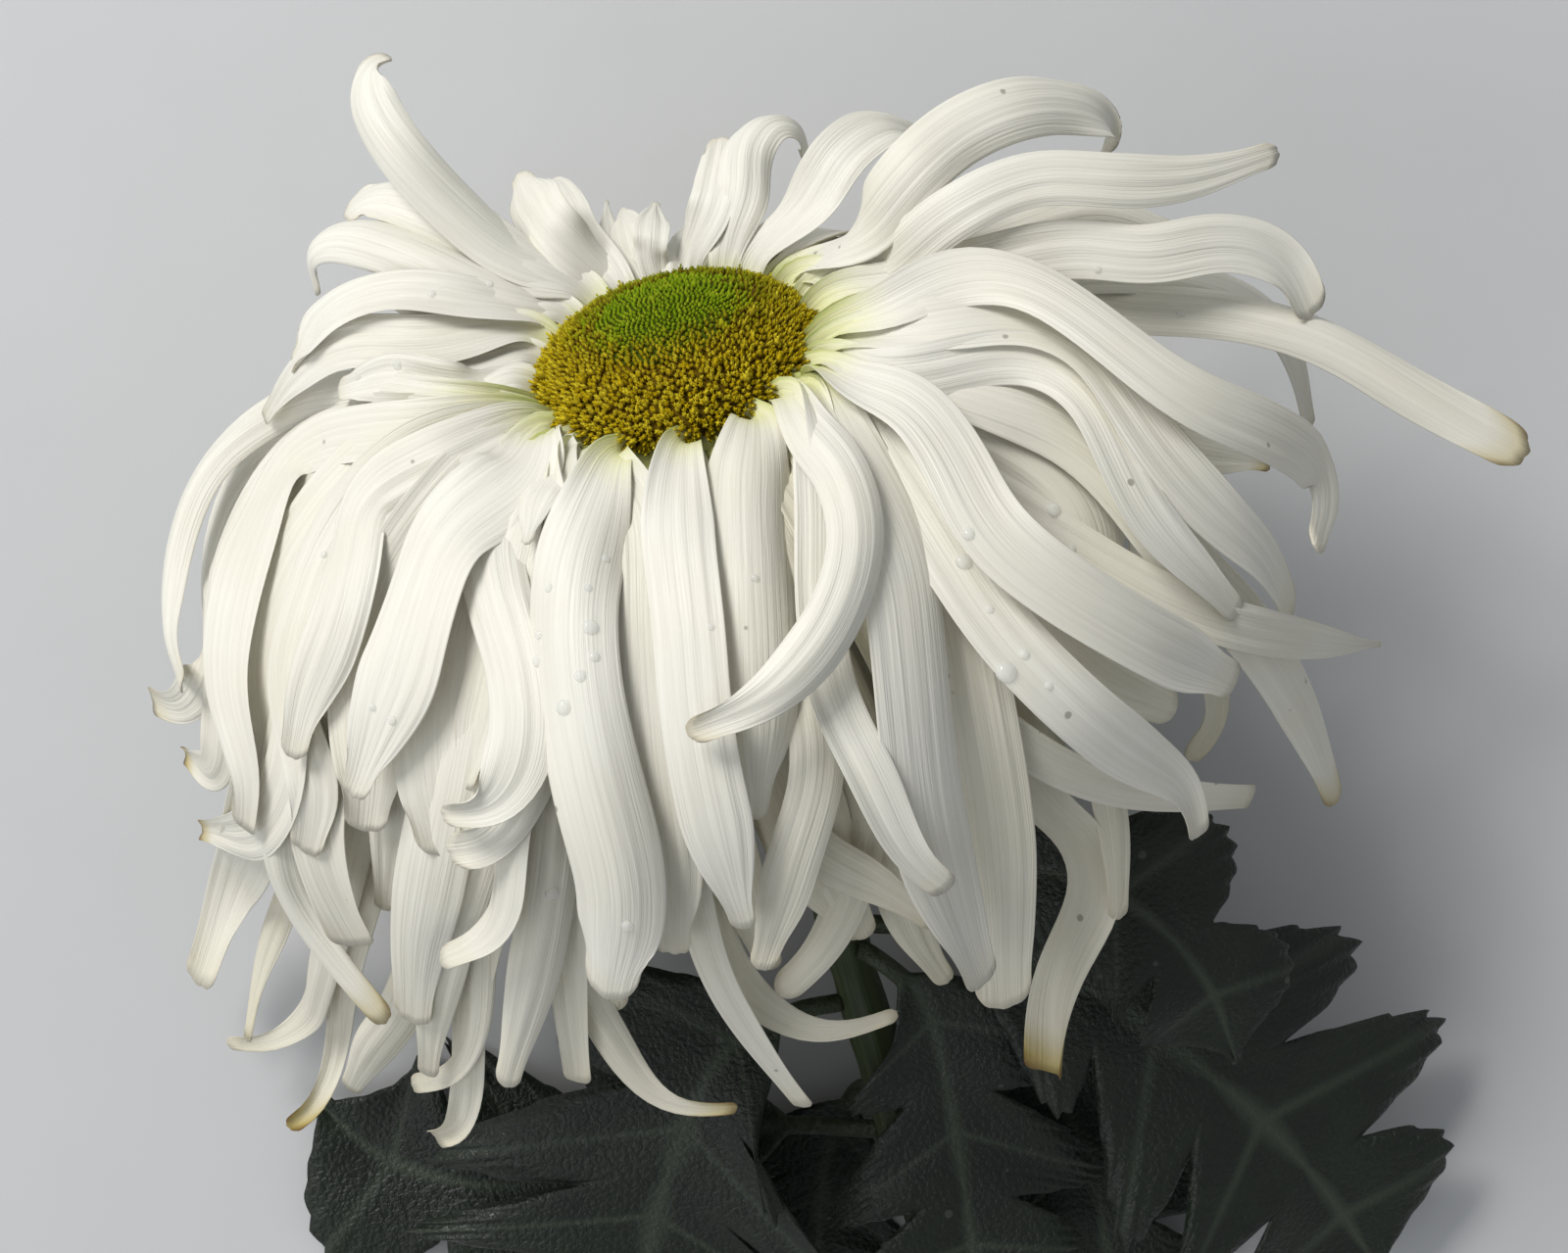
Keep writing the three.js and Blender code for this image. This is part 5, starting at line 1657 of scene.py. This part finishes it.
@dataclass(frozen=True)
class Effects:
    """The shader groups that more than one finish uses."""

    striae: bpy.types.NodeTree
    flecks: bpy.types.NodeTree
    patches: bpy.types.NodeTree

    @staticmethod
    def new_group(name: str, *takes: str) -> tuple[bpy.types.NodeTree, Nodes, list[Socket], Socket]:
        """An empty node group with its sockets and one output, Value.

        Args:
            name: the group's name.
            takes: the inputs' names. Place is a vector and the others are values.

        Returns:
            The group's tree, its helper, its inputs' sockets and its output's.
        """
        tree = bpy.data.node_groups.new(name, "ShaderNodeTree")
        for key in takes:
            kind = "NodeSocketVector" if key == "Place" else "NodeSocketFloat"
            tree.interface.new_socket(key, in_out="INPUT", socket_type=kind)
        tree.interface.new_socket("Value", in_out="OUTPUT", socket_type="NodeSocketFloat")
        taken, given = tree.nodes.new("NodeGroupInput"), tree.nodes.new("NodeGroupOutput")
        return tree, Nodes(tree), [taken.outputs[key] for key in takes], given.inputs["Value"]

    @staticmethod
    def build() -> "Effects":
        """Builds the three groups.

        Striae is noise drawn out along a piece. Flecks is a mask of small uneven spots: cells of a
        Voronoi pattern, a drawn share of which are kept. Patches is broad noise.

        Returns:
            The groups.
        """
        striae, n, (across, along, count, seed), value = Effects.new_group(
            "striae", "Across", "Along", "Count", "Seed"
        )
        spread = n.add("CombineXYZ", n.times(across, count), n.times(along, 3.0), n.times(seed, 57.0))
        n.put(value, n.step(n.noise(spread.outputs[0], 1.0, 3.0), 0.3, 0.7))

        flecks, n, (place, scale, size, amount), value = Effects.new_group(
            "flecks", "Place", "Scale", "Size", "Amount"
        )
        cells = n.named(n.add("TexVoronoi"), vector=place, scale=scale)
        chosen = n.add("SeparateColor", cells.outputs["Color"]).outputs
        kept = n.math("LESS_THAN", chosen[0], amount)
        near = n.math("SUBTRACT", n.times(chosen[1], size), cells.outputs["Distance"])
        n.put(value, n.times(n.step(near, 0.0, 0.08), kept))

        patches, n, (place, scale), value = Effects.new_group("patches", "Place", "Scale")
        n.put(value, n.step(n.noise(place, scale), 0.32, 0.68))
        return Effects(striae, flecks, patches)


@dataclass(frozen=True)
class Finish:
    """One Principled shader with its plain values, and with the sockets that paint feeds."""

    name: str
    roughness: float = 0.5
    refraction: float = 1.4
    sheen: float = 0.0
    alpha: float = 1.0

    def paint(self, n: Nodes, effects: Effects | None) -> dict[str, Feed]:
        """What changes over the surface, by the shader's sockets. Each finish has its own."""
        return {}

    def make(self, effects: Effects | None) -> bpy.types.Material:
        """Builds the material.

        Args:
            effects: the shared groups.

        Returns:
            The material.
        """
        material = bpy.data.materials.new(self.name)
        material.use_nodes = True
        n = Nodes(material.node_tree)
        shader = material.node_tree.nodes["Principled BSDF"]
        plain = {
            "Roughness": self.roughness,
            "IOR": self.refraction,
            "Sheen Weight": self.sheen,
            "Alpha": self.alpha,
        }
        for socket, feed in {**plain, **self.paint(n, effects)}.items():
            n.put(shader.inputs[socket], feed)
        return material


@dataclass(frozen=True)
class PetalFinish(Finish):
    """White ray florets: green claws, ribs with painted shade, cream tone with painted cream shade on
    deeper rays, browned tips and small flecks.
    """

    name: str = "petal_white"
    refraction: float = 1.38
    white: Colour = (0.87, 0.855, 0.78)
    shaded: Colour = (0.73, 0.71, 0.64)
    cream_and_shade: Colour = (0.71, 0.665, 0.50)
    claw: Colour = (0.78, 0.80, 0.26)
    margin: Colour = (0.36, 0.44, 0.05)
    ochre: Colour = (0.50, 0.40, 0.12)
    brown: Colour = (0.22, 0.12, 0.035)
    speck: Colour = (0.16, 0.14, 0.11)

    def paint(self, n: Nodes, effects: Effects) -> dict[str, Feed]:
        """Paints shade along the ribs, then lays on cream tone and painted depth shade, claws, margins,
        browned tips and flecks.

        Args:
            n: the material's nodes.
            effects: the shared groups.

        Returns:
            The feeds, by socket.
        """
        share, across, tone, age, tip = map(n.value, ("share", "across", "tone", "age", "tip"))
        lines, fine = (
            n.group(effects.striae, across=across, along=share, count=count, seed=tone)
            for count in (9.0, 26.0)
        )
        patch = n.group(effects.patches, place=n.place(), scale=70.0)
        # Painted shade along the striae.
        colour = n.mix(self.white, self.shaded, n.times(lines, 0.55))
        # Painted cream shade for deeper rays, plus random cream tone and patches.
        cream_and_depth_shade = n.math("MULTIPLY_ADD", age, 0.62, n.times(patch, 0.18))
        cream_and_depth_shade = n.math("ADD", cream_and_depth_shade, n.times(tone, 0.14))
        cream_and_depth_shade = n.times(cream_and_depth_shade, n.step(fine, 0.0, 1.0, 0.85, 1.1), clamp=True)
        colour = n.mix(colour, self.cream_and_shade, cream_and_depth_shade)
        green = n.times(n.step(share, 0.04, 0.19, 1.0, 0.0), n.step(fine, 0.0, 1.0, 0.55, 1.0))
        colour = n.mix(colour, self.claw, n.times(green, 0.8))
        side = n.step(n.math("ABSOLUTE", across), 0.7, 1.0)
        colour = n.mix(colour, self.margin, n.times(side, n.step(share, 0.05, 0.14, 0.65, 0.0)))
        edge = n.math("ADD", share, n.times(n.math("POWER", across, 2.0), 0.02))
        for stain, low, high in ((self.ochre, 0.93, 1.01), (self.brown, 0.985, 1.02)):
            colour = n.mix(colour, stain, n.times(n.step(edge, low, high), tip, clamp=True))
        small = n.group(effects.flecks, place=n.place(), scale=330.0, size=0.2, amount=0.05)
        colour = n.mix(colour, self.speck, n.times(small, 0.6))
        relief = n.math("ADD", lines, n.times(fine, 0.35))
        return {
            "Base Color": colour,
            "Roughness": n.step(fine, 0.0, 1.0, 0.4, 0.52),
            "Normal": n.bump(relief, 0.12 * MM),
        }


@dataclass(frozen=True)
class FloretFinish(Finish):
    """Disc florets or buds: painted shade from a dark foot to a bright head, greener where they are young,
    with pale tips that are partly a painted highlight.
    """

    roughness: float = 0.8
    refraction: float = 1.22
    foot: Colour = (0.13, 0.08, 0.002)
    head: Colour = (0.65, 0.485, 0.003)
    pale: Colour = (0.90, 0.78, 0.05)
    young: Colour = (0.21, 0.31, 0.002)

    def paint(self, n: Nodes, effects: Effects) -> dict[str, Feed]:
        """Paints shade at each floret's foot and lightens it to its head, by how ripe it is; its own tone
        sets pale tips, partly a painted highlight.

        Args:
            n: the material's nodes.
            effects: the shared groups.

        Returns:
            The feeds, by socket.
        """
        level, ripe, tone = map(n.value, ("level", "ripe", "tone"))
        ripened = n.mix(self.young, self.head, ripe)
        # Painted shade: darker towards each floret's foot, deep between its neighbours.
        colour = n.mix(self.foot, ripened, n.step(level, 0.1, 0.65))
        # Pale tips, partly a painted highlight.
        pale = n.times(n.step(tone, 0.2, 1.0), n.step(level, 0.3, 1.0, 0.2, 0.8))
        colour = n.mix(colour, self.pale, n.times(pale, n.step(ripe, 0.0, 1.0, 0.5, 1.0)))
        patch = n.group(effects.patches, place=n.place(), scale=900.0)
        colour = n.mix(colour, self.foot, n.times(patch, 0.25))
        return {"Base Color": colour, "Normal": n.bump(patch, 0.1 * MM, 0.4)}


@dataclass(frozen=True)
class LeafFinish(Finish):
    """Dark green leaves, darkened further as painted shade, with greyer midribs, paler undersides and small
    pale dust.
    """

    name: str = "leaf_dark_green_and_shade"
    refraction: float = 1.45
    sheen: float = 0.04
    # dark and light are the leaves' own dark green, darkened further as painted shade.
    dark: Colour = (0.004, 0.008, 0.0045)
    light: Colour = (0.0105, 0.017, 0.008)
    vein: Colour = (0.05, 0.064, 0.042)
    underside: Colour = (0.05, 0.075, 0.045)
    stalk: Colour = (0.025, 0.037, 0.015)
    dust: Colour = (0.12, 0.13, 0.11)

    def paint(self, n: Nodes, effects: Effects) -> dict[str, Feed]:
        """Mottles the leaf, then lays on its underside, veins, stalk and dust.

        Args:
            n: the material's nodes.
            effects: the shared groups.

        Returns:
            The feeds, by socket.
        """
        patch, grain = (
            n.group(effects.patches, place=n.place(), scale=scale) for scale in (120.0, 1400.0)
        )
        colour = n.mix(self.dark, self.light, n.math("MULTIPLY_ADD", patch, 0.6, n.times(grain, 0.3)))
        colour = n.mix(colour, self.underside, n.times(n.value("underside"), 0.8))
        colour = n.mix(colour, self.vein, n.times(n.value("vein"), 0.75))
        colour = n.mix(colour, self.stalk, n.value("stalk"))
        dust = n.group(effects.flecks, place=n.place(), scale=420.0, size=0.3, amount=0.08)
        return {
            "Base Color": n.mix(colour, self.dust, n.times(dust, 0.35)),
            "Roughness": n.step(grain, 0.0, 1.0, 0.34, 0.52),
            "Normal": n.bump(grain, 0.25 * MM),
        }


@dataclass(frozen=True)
class StemFinish(Finish):
    """The stem: green darkened as painted shade, with paler ribs and a pale cut."""

    name: str = "stem_green_painted_shade"
    # green and rib are far darker than a fresh stem: painted shade.
    green: Colour = (0.022, 0.034, 0.012)
    rib: Colour = (0.045, 0.06, 0.022)
    pith: Colour = (0.56, 0.57, 0.4)

    def paint(self, n: Nodes, effects: Effects) -> dict[str, Feed]:
        """Draws the ribs along the stem and lightens the cut.

        Args:
            n: the material's nodes.
            effects: the shared groups.

        Returns:
            The feeds, by socket.
        """
        share, across, cut, tone = map(n.value, ("share", "across", "cut", "tone"))
        along = n.times(share, 4.0)
        lines = n.group(effects.striae, across=across, along=along, count=14.0, seed=tone)
        patch = n.group(effects.patches, place=n.place(), scale=200.0)
        colour = n.mix(n.mix(self.green, self.rib, lines), self.rib, n.times(patch, 0.3))
        colour = n.mix(colour, self.pith, n.step(cut, 0.12, 0.4))
        return {"Base Color": colour, "Normal": n.bump(lines, 0.2 * MM)}


@dataclass(frozen=True)
class BractFinish(Finish):
    """Green bracts with thin dry margins."""

    name: str = "bract_green"
    roughness: float = 0.52
    green: Colour = (0.1, 0.16, 0.05)
    tip: Colour = (0.18, 0.24, 0.08)
    margin: Colour = (0.36, 0.31, 0.17)

    def paint(self, n: Nodes, effects: Effects) -> dict[str, Feed]:
        """Lightens the bract to its tip and dries its margin.

        Args:
            n: the material's nodes.
            effects: the shared groups.

        Returns:
            The feeds, by socket.
        """
        share, across, tone = map(n.value, ("share", "across", "tone"))
        lines = n.group(effects.striae, across=across, along=share, count=5.0, seed=tone)
        colour = n.mix(self.green, self.tip, n.math("MULTIPLY_ADD", share, 0.5, n.times(lines, 0.4)))
        edge = n.step(n.math("ABSOLUTE", across), 0.72, 0.96)
        colour = n.mix(colour, self.margin, n.times(edge, 0.8))
        return {"Base Color": colour, "Normal": n.bump(lines, 0.15 * MM)}


@dataclass(frozen=True)
class WaterFinish(Finish):
    """Clear water, thin enough for most light to pass straight through."""

    name: str = "clear_water"
    roughness: float = 0.02
    refraction: float = 1.45
    alpha: float = 0.34

    def paint(self, n: Nodes, effects: Effects | None) -> dict[str, Feed]:
        """One pale colour."""
        return {"Base Color": (0.94, 0.95, 0.94)}


@dataclass(frozen=True)
class FloorFinish(Finish):
    """A pale matt table with a faint grain."""

    name: str = "floor_pale"
    roughness: float = 0.85
    refraction: float = 1.5
    pale: Colour = (0.60, 0.61, 0.62)
    grey: Colour = (0.57, 0.58, 0.59)

    def paint(self, n: Nodes, effects: Effects | None) -> dict[str, Feed]:
        """Mixes the two tones by noise."""
        return {"Base Color": n.mix(self.pale, self.grey, n.noise(n.place(), 40.0, 4.0))}


@dataclass(frozen=True)
class Studio:
    """A pale floor and the soft light of an overcast day, brightest from the photograph's top."""

    view: PhotoView
    floor_half: float = 3.0
    sky: Colour = (0.93, 0.96, 1.0)
    sky_strength: float = 0.33

    def make_floor(self) -> None:
        """Makes the table that the flower lies on."""
        half = self.floor_half
        mesh = bpy.data.meshes.new("floor")
        corners = [(-half, -half, 0), (half, -half, 0), (half, half, 0), (-half, half, 0)]
        mesh.from_pydata(corners, [], [(0, 1, 2, 3)])
        mesh.materials.append(FloorFinish().make(None))
        floor = bpy.data.objects.new("floor", mesh)
        bpy.context.scene.collection.objects.link(floor)

    def add_light(self, name: str, place: Vec3, size: float, watts: float, colour: Colour) -> None:
        """A soft panel light that looks at the bloom.

        Args:
            name: its name.
            place: its place in metres from the disc, towards the photograph's right and its top,
                and its height above the table.
            size: its side.
            watts: its power.
            colour: its colour.
        """
        data = bpy.data.lights.new(name, "AREA")
        data.shape = "SQUARE"
        data.size = size
        data.energy = watts
        data.color = colour
        light = bpy.data.objects.new(name, data)
        start = self.view.unrolled(*place)
        x, y, z = self.view.head.centre + np.array([0.0, -40 * MM, -30 * MM]) - start
        light.location = start.tolist()
        light.rotation_euler = (math.atan2(math.hypot(x, y), -z), 0.0, math.atan2(-x, y))
        light.visible_camera = False
        bpy.context.scene.collection.objects.link(light)

    def build(self) -> None:
        """Builds the floor, the sky and the lights."""
        self.make_floor()
        world = bpy.data.worlds.new("overcast")
        world.use_nodes = True
        background = world.node_tree.nodes["Background"]
        background.inputs["Color"].default_value = (*self.sky, 1.0)
        background.inputs["Strength"].default_value = self.sky_strength
        bpy.context.scene.world = world
        self.add_light("key_panel", (-0.55, 0.60, 0.9), 0.44, 10.6, (1.0, 0.985, 0.955))
        self.add_light("fill_panel", (-0.75, -0.5, 0.75), 1.0, 3.0, (0.97, 0.98, 1.0))
        bpy.context.scene.view_settings.view_transform = "Standard"


def main() -> None:
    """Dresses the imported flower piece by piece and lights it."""
    logging.basicConfig(level=logging.INFO, format="%(name)s: %(message)s")
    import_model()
    head = Head.on_frame()
    view = PhotoView(head)
    effects = Effects.build()
    # For both: foot is painted shade at the florets' feet, and pale is partly a painted highlight.
    yellow = FloretFinish("floret_yellow")
    green = FloretFinish(
        "bud_green",
        foot=(0.06, 0.085, 0.002),
        head=(0.58, 0.44, 0.002),
        pale=(0.62, 0.60, 0.03),
        young=(0.19, 0.30, 0.002),
    )
    rays = RayFlorets(head, view).build(PetalFinish().make(effects))
    Disc(head).build(yellow.make(effects), green.make(effects))
    Involucre(head).build(BractFinish().make(effects))
    Stem(head).build(StemFinish().make(effects))
    Leaves(head, view).build(LeafFinish().make(effects))
    WaterDrops(view).build(rays, WaterFinish().make(None))
    Studio(view).build()
    view.make_camera()


if __name__ == "__main__":
    main()
